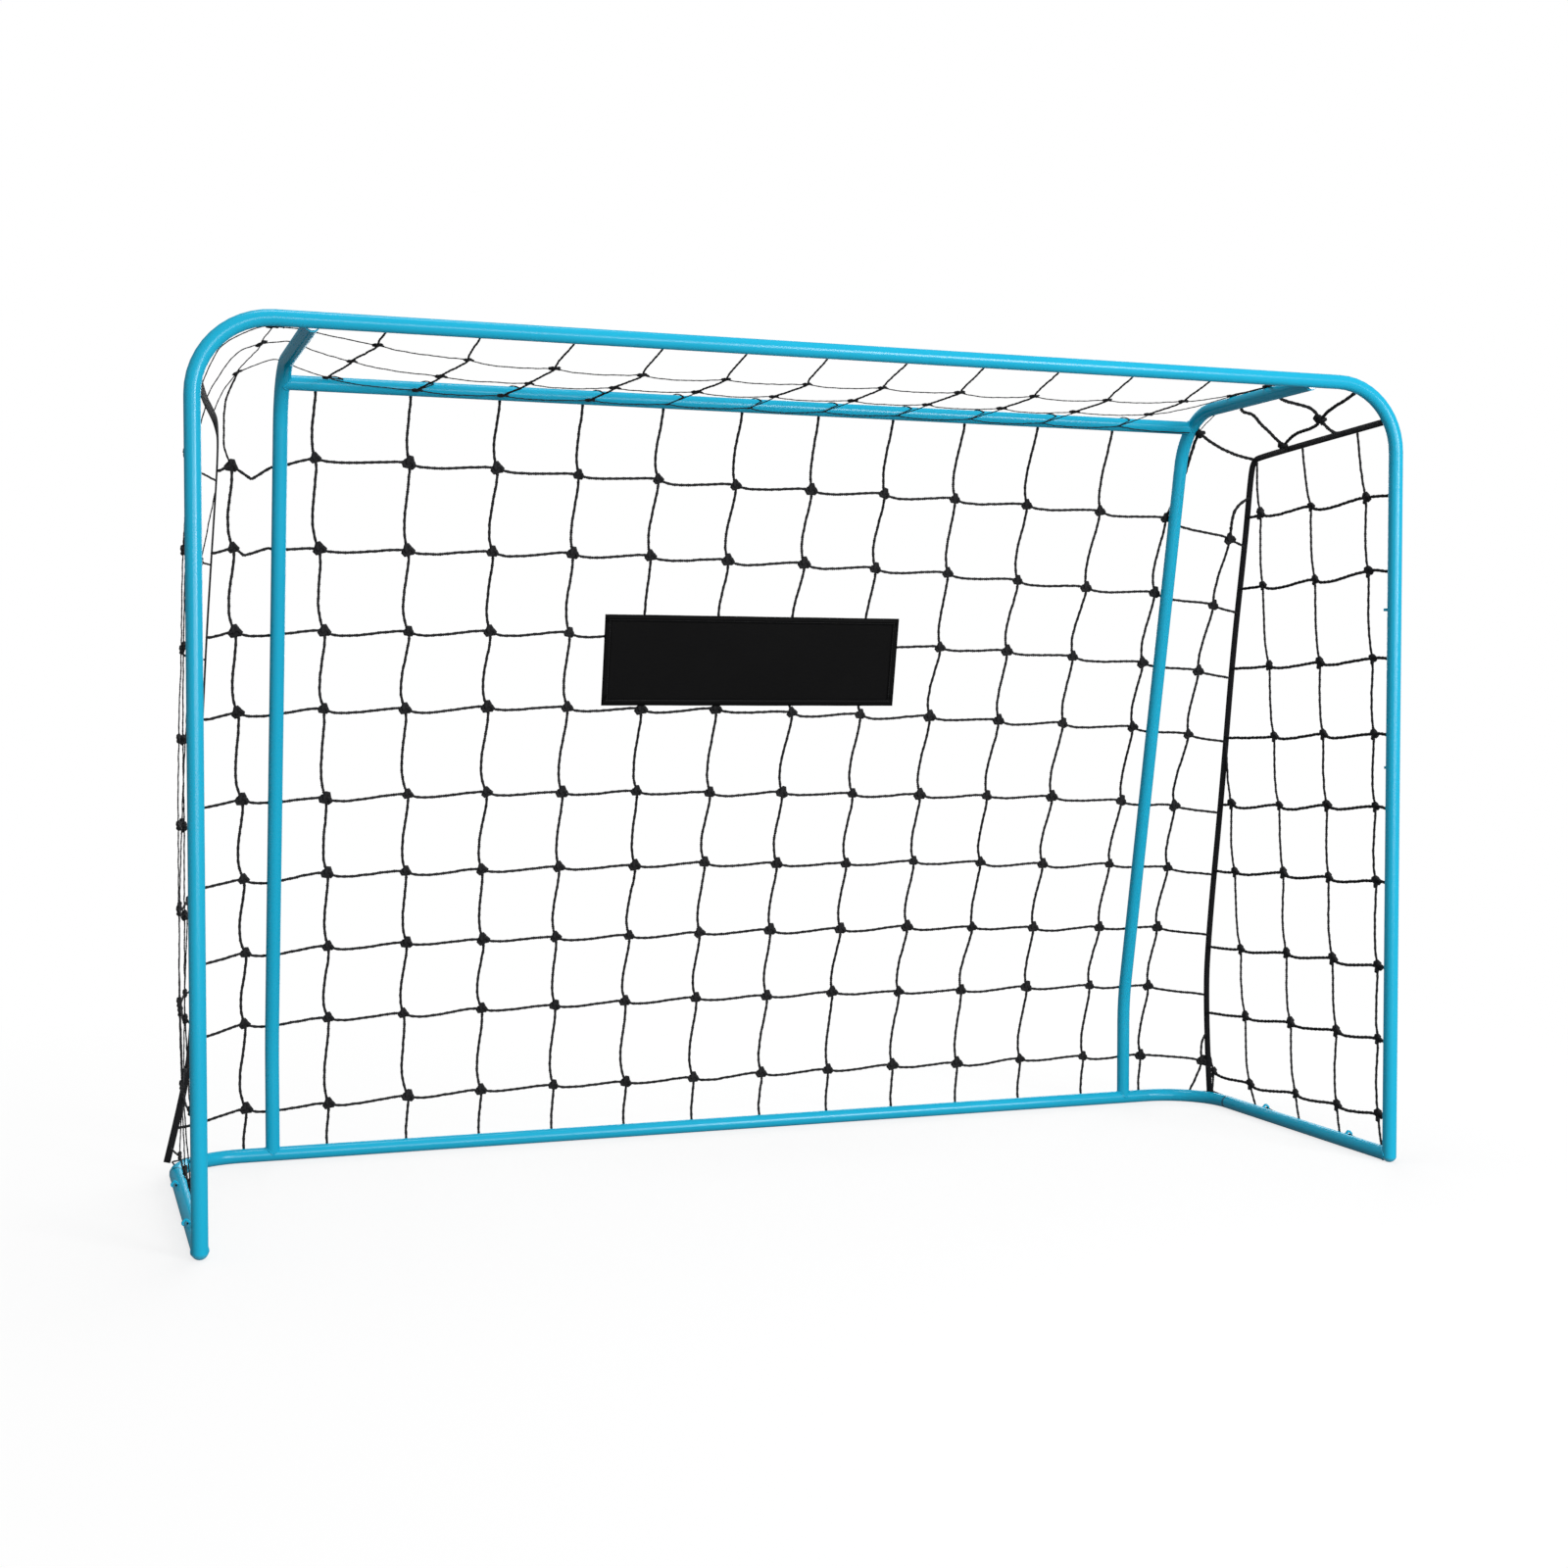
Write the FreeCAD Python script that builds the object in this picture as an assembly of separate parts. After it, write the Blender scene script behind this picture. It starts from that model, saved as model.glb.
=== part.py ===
import FreeCAD, Part
import math
import os

# A light steel-tube goal with a knotted net, drawn in millimetres.
# X runs to the right along the goal line, Y to the rear, Z up from the ground.
# The origin is under the middle of the object, on the ground.

# Driving dimensions of the frame
overall_width = 1800.0       # over the outsides of the two posts
overall_height = 1205.0      # ground to the top of the crossbar
frame_depth = 600.0          # front of the posts to the back of the ground rail
tube_diameter = 21.3
tube_wall = 1.5
bend_radius = 102.0          # centreline radius of every corner bend
stay_inset = 149.35          # post centreline to stay centreline
stay_drop = 4.0              # stay centreline below the crossbar's
stay_mouth = 4.0             # crossbar centreline to the stay's cut end
stay_corner_depth = 373.0    # post centreline to the stay's upper corner
stay_kink_height = 184.0     # where the leaning stay turns upright
stay_kink_radius = 400.0

# Plug joints, feet and fasteners
plug_clearance = 0.15        # radial, between a plug and the bore round it
plug_length = 45.0
seam_before_bend = 3.0       # ground seam in front of the rear corner bend
weld_gap = 0.1               # left at each coped end for the weld
foot_dome_radius = 11.2
foot_pad_diameter = 7.0
foot_stem_length = 20.0
screw_diameter = 4.0
screw_hole_clearance = 0.15  # radial, round each screw's shank
screw_length = 11.0
screw_head_diameter = 8.0
screw_head_taper = 1.0       # the head's rim is this much narrower all round at its top
screw_head_height = 2.4
screw_setback = 32.0         # crossbar centreline to the screw

# Net, its edge tapes and the panel tied to it
mesh_size = 121.5
cord_diameter = 3.0
soft_gap = 0.3               # between a soft piece and what carries it
net_shift = 13.0             # the net's columns sit this far to the right
top_row_height = 1049.0      # highest row of knots on the back net
side_row_height = 63.0       # lowest row of knots on the side nets
tape_width = 9.0
tape_thickness = 2.5
tape_inset = 11.35           # post centreline to the tape, at the roof
tape_corner_height = 1125.0
tape_corner_radius = 12.0
tape_knee_height = 420.0
tape_knee_radius = 500.0
tape_foot_setback = 7.0      # the tape's foot is this far in front of its knee
banner_width = 495.0
banner_height = 145.0
banner_thickness = 0.8
banner_shift = 8.0
banner_centre_height = 775.0

# Net hooks, flat steel tabs on the hidden side of the tubes
hook_bar = 2.5
hook_thickness = 4.0
hook_play = 1.1              # between the cord and the inside of the hook
hook_chamfer = 2.0
hook_every = 2               # one hook in every so many meshes

# Derived sizes
tube_radius = tube_diameter / 2
bore_radius = tube_radius - tube_wall
plug_radius = bore_radius - plug_clearance
cord_radius = cord_diameter / 2
net_offset = tube_radius + soft_gap + cord_radius                   # tube centreline to a net
corner_offset = tube_radius + soft_gap + cord_radius * math.sqrt(2)  # where a net's edge faces the tube
hook_inner = cord_radius + hook_play
hook_outer = hook_inner + hook_bar
hook_depth = net_offset + hook_outer - tube_radius
foot_dome_centre = math.sqrt(foot_dome_radius ** 2 - (foot_pad_diameter / 2) ** 2)
foot_dome_height = foot_dome_centre - math.sqrt(foot_dome_radius ** 2 - tube_radius ** 2)

post_x = overall_width / 2 - tube_radius
crossbar_z = overall_height - tube_radius
front_y = tube_radius - (frame_depth + hook_depth) / 2
rear_y = front_y + frame_depth - tube_diameter
stay_x = post_x - stay_inset
stay_z = crossbar_z - stay_drop
corner_y = front_y + stay_corner_depth
seam_y = rear_y - bend_radius - seam_before_bend
ground_z = tube_radius

lean = math.atan2(rear_y - corner_y, stay_z - stay_kink_height)
back_normal = FreeCAD.Vector(0, math.cos(lean), math.sin(lean))
back_up = FreeCAD.Vector(0, -math.sin(lean), math.cos(lean))
stay_corner = FreeCAD.Vector(0, corner_y, stay_z)

# The rear top bar sits half way round the stays' upper bend.
half_turn = (math.pi / 2 - lean) / 2
bend_centre_y = corner_y - bend_radius * math.tan(half_turn)
bend_centre_z = stay_z - bend_radius
bar_angle = lean + half_turn
bar_y = bend_centre_y + bend_radius * math.cos(bar_angle)
bar_z = bend_centre_z + bend_radius * math.sin(bar_angle)

x_axis = FreeCAD.Vector(1, 0, 0)
y_axis = FreeCAD.Vector(0, 1, 0)
z_axis = FreeCAD.Vector(0, 0, 1)

os.makedirs("parts", exist_ok=True)


def save(node, solids):
    shape = solids[0] if len(solids) == 1 else Part.makeCompound(solids)
    shape.exportStep(os.path.join("parts", node + ".step"))
    volume = sum(s.Volume for s in solids)
    print(node, "solids", len(solids), "volume", round(volume), "valid", shape.isValid())


def centreline(points, radii):
    """Straight runs joined by arcs; radii holds one bend radius for each inner point."""
    edges = []
    start = points[0]
    for i, radius in enumerate(radii):
        before, corner, after = points[i], points[i + 1], points[i + 2]
        back = (before - corner).normalize()
        ahead = (after - corner).normalize()
        turn = math.pi - back.getAngle(ahead)
        reach = radius * math.tan(turn / 2)
        enter = corner + back * reach
        leave = corner + ahead * reach
        inward = (back + ahead).normalize()
        middle = corner + inward * (radius / math.cos(turn / 2) - radius)
        edges.append(Part.LineSegment(start, enter).toShape())
        edges.append(Part.Arc(enter, middle, leave).toShape())
        start = leave
    edges.append(Part.LineSegment(start, points[-1]).toShape())
    return Part.Wire(edges)


def rod(points, radii, radius):
    path = centreline(points, radii)
    direction = points[1] - points[0]
    disc = Part.Face(Part.Wire([Part.makeCircle(radius, points[0], direction)]))
    return path.makePipe(disc).Solids[0]


def straight_rod(start, end, radius):
    run = end - start
    return Part.makeCylinder(radius, run.Length, start, run)


def bore(start, end):
    """The hollow of a tube; only runs that another piece plugs into are drawn hollow."""
    return straight_rod(start, end, bore_radius)


def cope(middle, direction):
    """The room that a tube takes from the end of another one welded on to it."""
    reach = direction * (2 * tube_diameter)
    return straight_rod(middle - reach, middle + reach, tube_radius + weld_gap)


# Front frame: both posts and the crossbar bent from one tube


def front_frame_tube():
    body = rod([
        FreeCAD.Vector(-post_x, front_y, foot_dome_height),
        FreeCAD.Vector(-post_x, front_y, crossbar_z),
        FreeCAD.Vector(post_x, front_y, crossbar_z),
        FreeCAD.Vector(post_x, front_y, foot_dome_height),
    ], [bend_radius, bend_radius], tube_radius)
    for x in (-post_x, post_x):
        foot = FreeCAD.Vector(x, front_y, foot_dome_height)
        body = body.cut(bore(foot, FreeCAD.Vector(x, front_y, crossbar_z - bend_radius)))
    return body.Solids[0]


save("front_frame_tube", [front_frame_tube()])


def foot_cap(side):
    """A domed plug pressed into the foot of a post."""
    dome = Part.makeSphere(foot_dome_radius, z_axis * foot_dome_centre)
    dome = dome.common(Part.makeCylinder(tube_radius, foot_dome_height))
    stem = Part.makeCylinder(plug_radius, foot_stem_length, z_axis * foot_dome_height)
    cap = dome.fuse(stem).removeSplitter().Solids[0]
    cap.translate(FreeCAD.Vector(side * post_x, front_y, 0))
    return cap


save("foot_caps", [foot_cap(-1), foot_cap(1)])

# Ground frame: a straight tube welded behind each post, and a bent rear tube
# whose reduced ends plug into them.


def side_ground_tube(side):
    start = FreeCAD.Vector(side * post_x, front_y, ground_z)
    end = FreeCAD.Vector(side * post_x, seam_y, ground_z)
    body = straight_rod(start, end, tube_radius).cut(bore(start, end))
    return body.cut(cope(start, z_axis)).Solids[0]


save("side_ground_tube_left", [side_ground_tube(-1)])
save("side_ground_tube_right", [side_ground_tube(1)])


def rear_ground_tube():
    body = rod([
        FreeCAD.Vector(-post_x, seam_y + weld_gap, ground_z),
        FreeCAD.Vector(-post_x, rear_y, ground_z),
        FreeCAD.Vector(post_x, rear_y, ground_z),
        FreeCAD.Vector(post_x, seam_y + weld_gap, ground_z),
    ], [bend_radius, bend_radius], tube_radius)
    for side in (-1, 1):
        tip = FreeCAD.Vector(side * post_x, seam_y - plug_length, ground_z)
        root = FreeCAD.Vector(side * post_x, seam_y + seam_before_bend, ground_z)
        body = body.fuse(straight_rod(tip, root, plug_radius))
    return body.removeSplitter().Solids[0]


save("rear_ground_tube", [rear_ground_tube()])

# Stays: each leans back from the crossbar and stands on the ground rail.


def stay_points(side):
    x = side * stay_x
    return [
        FreeCAD.Vector(x, front_y + stay_mouth, stay_z),
        FreeCAD.Vector(x, corner_y, stay_z),
        FreeCAD.Vector(x, rear_y, stay_kink_height),
        FreeCAD.Vector(x, rear_y, ground_z),
    ]


stay_bends = [bend_radius, stay_kink_radius]


def screw_seat(side):
    return FreeCAD.Vector(side * stay_x, front_y + screw_setback, stay_z + tube_radius)


def screw_hole(side):
    """From above the stay to just under the screw's tip."""
    top = screw_seat(side) + z_axis * tube_radius
    bottom = screw_seat(side) - z_axis * (screw_length + screw_hole_clearance)
    return straight_rod(bottom, top, screw_diameter / 2 + screw_hole_clearance)


def crossbar_cope(side):
    return cope(FreeCAD.Vector(side * stay_x, front_y, crossbar_z), x_axis)


def stay(side):
    points = stay_points(side)
    body = rod(points, stay_bends, tube_radius)
    body = body.cut(bore(points[0], FreeCAD.Vector(side * stay_x, bend_centre_y, stay_z)))
    body = body.cut(crossbar_cope(side))
    body = body.cut(cope(FreeCAD.Vector(side * stay_x, rear_y, ground_z), x_axis))
    body = body.cut(screw_hole(side))
    return max(body.Solids, key=lambda s: s.Volume)


def stay_plug(side):
    """A short round bar welded to the crossbar, on which the stay slides."""
    start = FreeCAD.Vector(side * stay_x, front_y, stay_z)
    body = straight_rod(start, start + y_axis * (tube_radius + plug_length), plug_radius)
    body = body.cut(crossbar_cope(side)).cut(screw_hole(side))
    return max(body.Solids, key=lambda s: s.Volume)


def stay_screw(side):
    """A screw down through the stay into its plug."""
    seat = screw_seat(side)
    head_radius = screw_head_diameter / 2
    head = Part.makeCone(head_radius, head_radius - screw_head_taper, screw_head_height, seat)
    shank = straight_rod(seat - z_axis * screw_length, seat, screw_diameter / 2)
    return head.fuse(shank).removeSplitter().Solids[0]


save("stay_left", [stay(-1)])
save("stay_right", [stay(1)])
save("stay_plugs", [stay_plug(-1), stay_plug(1)])
save("stay_screws", [stay_screw(-1), stay_screw(1)])


def rear_top_bar():
    start = FreeCAD.Vector(-stay_x, bar_y, bar_z)
    end = FreeCAD.Vector(stay_x, bar_y, bar_z)
    body = straight_rod(start, end, tube_radius)
    for side in (-1, 1):
        body = body.cut(rod(stay_points(side), stay_bends, tube_radius + weld_gap))
    return max(body.Solids, key=lambda s: s.Volume)


save("rear_top_bar", [rear_top_bar()])

# Net panels: flat sheets of square meshes, each a face with its gaps cut out

smallest_gap = (mesh_size / 4) ** 2    # smaller remnants of a mesh stay closed
gap_counts = []


def inside_edge(point, a, b, margin):
    """How far a point lies inside the line a-b, less the margin."""
    run_u, run_v = b[0] - a[0], b[1] - a[1]
    length = math.hypot(run_u, run_v)
    return ((point[1] - a[1]) * run_u - (point[0] - a[0]) * run_v) / length - margin


def clipped(points, outline, margin):
    """The part of a convex shape inside a convex outline drawn in by the margin."""
    for a, b in zip(outline, outline[1:] + outline[:1]):
        kept = []
        for p, q in zip(points, points[1:] + points[:1]):
            at_p, at_q = inside_edge(p, a, b, margin), inside_edge(q, a, b, margin)
            if at_p > 0:
                kept.append(p)
            if (at_p > 0) != (at_q > 0):
                share = at_p / (at_p - at_q)
                kept.append((p[0] + share * (q[0] - p[0]), p[1] + share * (q[1] - p[1])))
        points = kept
    return points


def area(points):
    pairs = zip(points, points[1:] + points[:1])
    return sum(p[0] * q[1] - q[0] * p[1] for p, q in pairs) / 2


def net_panel(origin, along, up, outline, column, row):
    """A flat net with cords at the given column and row and every mesh from there."""

    def wire(points):
        corners = [origin + along * u + up * v for u, v in points]
        return Part.makePolygon(corners + corners[:1])

    gaps = []
    low_u, high_u = min(p[0] for p in outline), max(p[0] for p in outline)
    low_v, high_v = min(p[1] for p in outline), max(p[1] for p in outline)
    for i in range(math.floor((low_u - column) / mesh_size), math.ceil((high_u - column) / mesh_size)):
        for j in range(math.floor((low_v - row) / mesh_size), math.ceil((high_v - row) / mesh_size)):
            u0 = column + i * mesh_size + cord_radius
            v0 = row + j * mesh_size + cord_radius
            u1 = u0 + mesh_size - cord_diameter
            v1 = v0 + mesh_size - cord_diameter
            cell = clipped([(u0, v0), (u1, v0), (u1, v1), (u0, v1)], outline, cord_diameter)
            if len(cell) > 2 and area(cell) > smallest_gap:
                gaps.append(wire(cell))
    normal = along.cross(up).normalize()
    sheet = Part.makeFace([wire(outline)] + gaps, "Part::FaceMakerBullseye")
    sheet.translate(normal * -cord_radius)
    gap_counts.append(len(gaps))
    return sheet.extrude(normal * cord_diameter)


first_column = net_shift + mesh_size / 2
fold_gap = cord_radius + soft_gap

# The side nets lean: they stand outside the ground tubes and end, at the
# top, beside the tapes, which start behind the front frame's corner bends.

side_low_x = post_x + corner_offset * math.sqrt(0.5)
side_low_z = ground_z + corner_offset * math.sqrt(0.5)
tape_top_x = post_x - tape_inset
side_top_x = tape_top_x + tape_thickness / 2 + soft_gap + cord_radius
tape_front_height = crossbar_z - bend_radius + math.sqrt(bend_radius ** 2 - (bend_radius - tape_inset) ** 2)
side_slope = (side_top_x - side_low_x) / (tape_front_height - side_low_z)


def side_net_x(z):
    return side_low_x + side_slope * (z - side_low_z)


def tape_x(z):
    return side_net_x(z) - cord_radius - soft_gap - tape_thickness / 2


def net_edge_x(z):
    """Where the roof and the back net end beside the tape."""
    return tape_x(z) - tape_thickness / 2 - soft_gap


# Back net: it hangs behind the stays, folds over the rear top bar above
# and stands upright behind the ground rail below.

back_origin = stay_corner + back_normal * net_offset
envelope = bend_radius + net_offset
quarter_turn = half_turn / 2
upper_fold = FreeCAD.Vector(
    0,
    bend_centre_y + envelope / math.cos(quarter_turn) * math.cos(lean + quarter_turn),
    bend_centre_z + envelope / math.cos(quarter_turn) * math.sin(lean + quarter_turn),
)
kink_y = rear_y + net_offset
rail_end_x = post_x - bend_radius
stay_edge_x = stay_x + tube_radius + soft_gap


def back_v(z):
    """Distance up the leaning back net at a height."""
    return (z - back_origin.z) / math.cos(lean)


def back_y(z):
    return back_origin.y - (z - back_origin.z) * math.tan(lean)


kink_z = back_origin.z - (kink_y - back_origin.y) / math.tan(lean)
upper_fold_v = (upper_fold - back_origin).dot(back_up)
top_row_v = back_v(top_row_height)
rail_row_z = kink_z - mesh_size + math.fmod(top_row_v - back_v(kink_z), mesh_size)

back_outline = [
    (-rail_end_x, back_v(kink_z) + fold_gap),
    (rail_end_x, back_v(kink_z) + fold_gap),
    (net_edge_x(tape_knee_height), back_v(tape_knee_height)),
    (net_edge_x(tape_corner_height), back_v(tape_corner_height) - fold_gap),
    (stay_edge_x, upper_fold_v - fold_gap),
    (-stay_edge_x, upper_fold_v - fold_gap),
    (-net_edge_x(tape_corner_height), back_v(tape_corner_height) - fold_gap),
    (-net_edge_x(tape_knee_height), back_v(tape_knee_height)),
]
back_panel = net_panel(back_origin, x_axis, back_up, back_outline, first_column, top_row_v)

rail_outline = [
    (-rail_end_x, ground_z - cord_radius),
    (rail_end_x, ground_z - cord_radius),
    (rail_end_x, kink_z - fold_gap),
    (-rail_end_x, kink_z - fold_gap),
]
rail_origin = FreeCAD.Vector(0, kink_y, 0)
rail_panel = net_panel(rail_origin, x_axis, z_axis, rail_outline, first_column, rail_row_z)

fold_normal = FreeCAD.Vector(0, math.cos(bar_angle), math.sin(bar_angle))
fold_up = FreeCAD.Vector(0, -math.sin(bar_angle), math.cos(bar_angle))
fold_origin = FreeCAD.Vector(0, bar_y, bar_z) + fold_normal * net_offset
fold_low = (upper_fold - fold_origin).dot(fold_up) + fold_gap
over_bar = net_offset * math.tan((math.pi / 2 - bar_angle) / 2) - fold_gap
fold_outline = [
    (-stay_x, fold_low),
    (stay_x, fold_low),
    (stay_x, over_bar),
    (-stay_x, over_bar),
]
fold_panel = net_panel(fold_origin, x_axis, fold_up, fold_outline, first_column, mesh_size)

tape_foot_y = back_y(tape_knee_height) - tape_foot_setback
corner_low_z = 2 * tube_radius + soft_gap


def corner_panel(side):
    """The upright net over each rear corner of the ground frame."""
    inner = FreeCAD.Vector(side * rail_end_x, kink_y, 0)
    outer = FreeCAD.Vector(side * net_edge_x(corner_low_z), tape_foot_y, 0)
    along = (outer - inner).normalize()
    spread = abs(along.x)
    tilt = cord_radius * abs(along.y)
    start = (soft_gap + tilt) / spread
    low_end = (net_edge_x(corner_low_z) - rail_end_x - tilt) / spread
    high_end = (net_edge_x(tape_knee_height) - rail_end_x - tilt) / spread
    below_back = cord_diameter + soft_gap
    outline = [
        (start, corner_low_z),
        (low_end, corner_low_z),
        (high_end, tape_knee_height - below_back),
        (start, kink_z - below_back),
    ]
    return net_panel(inner, along, z_axis, outline, mesh_size / 2, rail_row_z)


save("back_net", [back_panel, rail_panel, fold_panel, corner_panel(-1), corner_panel(1)])

# Roof net: one panel between the stays and a sloping wing outside each

roof_front_y = front_y + tube_radius + soft_gap
roof_half = stay_x - tube_radius - soft_gap
bar_top = FreeCAD.Vector(0, bar_y, bar_z + net_offset)
roof_origin = FreeCAD.Vector(0, roof_front_y, crossbar_z)
roof_up = (bar_top - roof_origin).normalize()
roof_depth = (bar_top - roof_origin).Length + over_bar
roof_outline = [
    (-roof_half, 0),
    (roof_half, 0),
    (roof_half, roof_depth),
    (-roof_half, roof_depth),
]
roof_panel = net_panel(roof_origin, x_axis, roof_up, roof_outline, first_column, mesh_size)


def roof_wing(side):
    inner = FreeCAD.Vector(side * stay_edge_x, roof_front_y, stay_z)
    outer = FreeCAD.Vector(side * net_edge_x(tape_front_height), roof_front_y, tape_front_height)
    drop = tape_front_height - tape_corner_height
    rear = FreeCAD.Vector(0, back_y(tape_corner_height) - roof_front_y, -drop)
    along = (outer - inner).normalize()
    up = (rear - along * rear.dot(along)).normalize()
    rear *= 1 - tape_width / rear.Length
    skew, depth = rear.dot(along), rear.dot(up)
    tilt = cord_radius * abs(along.z)
    low, high = tilt, (outer - inner).Length - tilt
    outline = [(low, 0), (high, 0), (high + skew, depth), (low + skew, depth)]
    return net_panel(inner, along, up, outline, high - mesh_size, mesh_size)


save("roof_net", [roof_panel, roof_wing(-1), roof_wing(1)])

# Flat tapes that bind the seam between the side nets and the rest


def tape_points(side):
    """The tape's middle line: behind the front corner, the upper corner, the knee, the foot."""
    foot_x = tape_x(corner_low_z) - tape_thickness / 2
    foot_z = ground_z + math.sqrt(tube_radius ** 2 - (foot_x - post_x) ** 2) + soft_gap
    knee_y = back_y(tape_knee_height)
    route = [
        (front_y + tube_radius + soft_gap, tape_front_height),
        (back_y(tape_corner_height), tape_corner_height),
        (knee_y, tape_knee_height),
        (knee_y - tape_foot_setback, foot_z),
    ]
    return [FreeCAD.Vector(side * tape_x(z), y, z) for y, z in route]


def edge_tape(side):
    points = tape_points(side)
    path = centreline(points, [tape_corner_radius, tape_knee_radius])
    first = (points[1] - points[0]).normalize()
    normal = first.cross(points[2] - points[1]).normalize()
    across = first.cross(normal) * (tape_width / 2)
    deep = normal * (tape_thickness / 2)
    start = points[0]
    section = Part.makePolygon([
        start + across + deep,
        start + across - deep,
        start - across - deep,
        start - across + deep,
        start + across + deep,
    ])
    return path.makePipe(Part.Face(section)).Solids[0]


save("edge_tape_left", [edge_tape(-1)])
save("edge_tape_right", [edge_tape(1)])

# Side nets, each one flat leaning panel behind its post


def side_net(side):
    origin = FreeCAD.Vector(side * side_low_x, 0, side_low_z)
    up = FreeCAD.Vector(side * side_slope, 0, 1)
    stretch = up.Length
    up.normalize()
    front, corner, knee, foot = tape_points(1)

    def outline_point(y, z):
        return (y, (z - side_low_z) * stretch)

    low_z = side_low_z - cord_radius
    low_y = foot.y + (low_z - foot.z) / (knee.z - foot.z) * (knee.y - foot.y)
    outline = [
        outline_point(roof_front_y, low_z),
        outline_point(low_y, low_z),
        outline_point(knee.y, knee.z),
        outline_point(corner.y, corner.z),
        outline_point(roof_front_y, front.z),
    ]
    column = front_y + mesh_size / 2
    return net_panel(origin, y_axis, up, outline, column, (side_row_height - side_low_z) * stretch)


save("side_net_left", [side_net(-1)])
save("side_net_right", [side_net(1)])
print("net gaps in all", sum(gap_counts))

# Panel on the front of the back net


def banner():
    depth = net_offset - cord_radius - soft_gap - banner_thickness
    centre_v = (banner_centre_height - stay_corner.z) / math.cos(lean)
    low = centre_v - banner_height / 2
    corner = stay_corner + back_normal * depth + back_up * low + x_axis * (banner_shift - banner_width / 2)
    wide = x_axis * banner_width
    high = back_up * banner_height
    outline = Part.makePolygon([corner, corner + wide, corner + wide + high, corner + high, corner])
    return Part.Face(outline).extrude(back_normal * banner_thickness)


save("banner", [banner()])

# Net hooks, welded to the tubes before they are painted


def hook(reach):
    """A hook whose x leaves the tube's middle line, round a cord along z at the reach."""
    tip = reach + hook_outer
    root = tube_radius - hook_bar
    corners = [
        (root, -hook_outer),
        (tip - hook_chamfer, -hook_outer),
        (tip, hook_chamfer - hook_outer),
        (tip, hook_outer - hook_chamfer),
        (tip - hook_chamfer, hook_outer),
        (reach, hook_outer),
        (reach, hook_inner),
        (reach + hook_inner, hook_inner),
        (reach + hook_inner, -hook_inner),
        (root, -hook_inner),
        (root, -hook_outer),
    ]
    outline = Part.makePolygon([FreeCAD.Vector(x, y, -hook_thickness / 2) for x, y in corners])
    plate = Part.Face(outline).extrude(z_axis * hook_thickness)
    tube_room = Part.makeCylinder(
        tube_radius + weld_gap, 2 * hook_thickness, FreeCAD.Vector(0, 0, -hook_thickness)
    )
    return plate.cut(tube_room).Solids[0]


def placed_hook(place, outward, arm_side, reach=net_offset):
    """A hook on a tube's middle line at a place, with its arm on the side named."""
    out = FreeCAD.Vector(outward).normalize()
    aside = (arm_side * -1).normalize()
    run = out.cross(aside)
    shape = hook(reach)
    shape.Placement = FreeCAD.Placement(FreeCAD.Matrix(
        out.x, aside.x, run.x, place.x,
        out.y, aside.y, run.y, place.y,
        out.z, aside.z, run.z, place.z,
    ))
    return shape


def mid_mesh(first_cord, low, high):
    """Places half way between cords, one in every hook_every meshes, inside the span."""
    start = first_cord + mesh_size / 2
    first = math.ceil((low - start) / mesh_size)
    last = math.floor((high - start) / mesh_size)
    return [start + i * mesh_size for i in range(first, last + 1) if i % hook_every == 0]


hook_margin = hook_thickness + cord_diameter
crossbar_hooks = [
    placed_hook(FreeCAD.Vector(x, front_y, crossbar_z), y_axis, z_axis * -1)
    for x in mid_mesh(first_column, hook_margin - roof_half, roof_half - hook_margin)
]
rail_hooks = [
    placed_hook(FreeCAD.Vector(x, rear_y, ground_z), y_axis, z_axis)
    for x in mid_mesh(first_column, hook_margin - rail_end_x, rail_end_x - hook_margin)
]
save("crossbar_net_hooks", crossbar_hooks)
save("rear_rail_net_hooks", rail_hooks)


def post_hook(side, z):
    aside = side_net_x(z) - post_x
    outward = FreeCAD.Vector(side * aside, net_offset, 0)
    arm_side = FreeCAD.Vector(-side * net_offset, aside, 0)
    return placed_hook(FreeCAD.Vector(side * post_x, front_y, z), outward, arm_side, outward.Length)


def side_tube_hook(side, y):
    outward = FreeCAD.Vector(side, 0, 1)
    arm_side = FreeCAD.Vector(-side, 0, 1)
    return placed_hook(FreeCAD.Vector(side * post_x, y, ground_z), outward, arm_side, corner_offset)


for side, name in ((-1, "left"), (1, "right")):
    heights = mid_mesh(side_row_height, 2 * tube_diameter, crossbar_z - bend_radius)
    depths = mid_mesh(front_y + mesh_size / 2, front_y + 2 * tube_diameter, seam_y - hook_margin)
    save("post_net_hooks_" + name, [post_hook(side, z) for z in heights])
    save("side_tube_net_hooks_" + name, [side_tube_hook(side, y) for y in depths])
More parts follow.
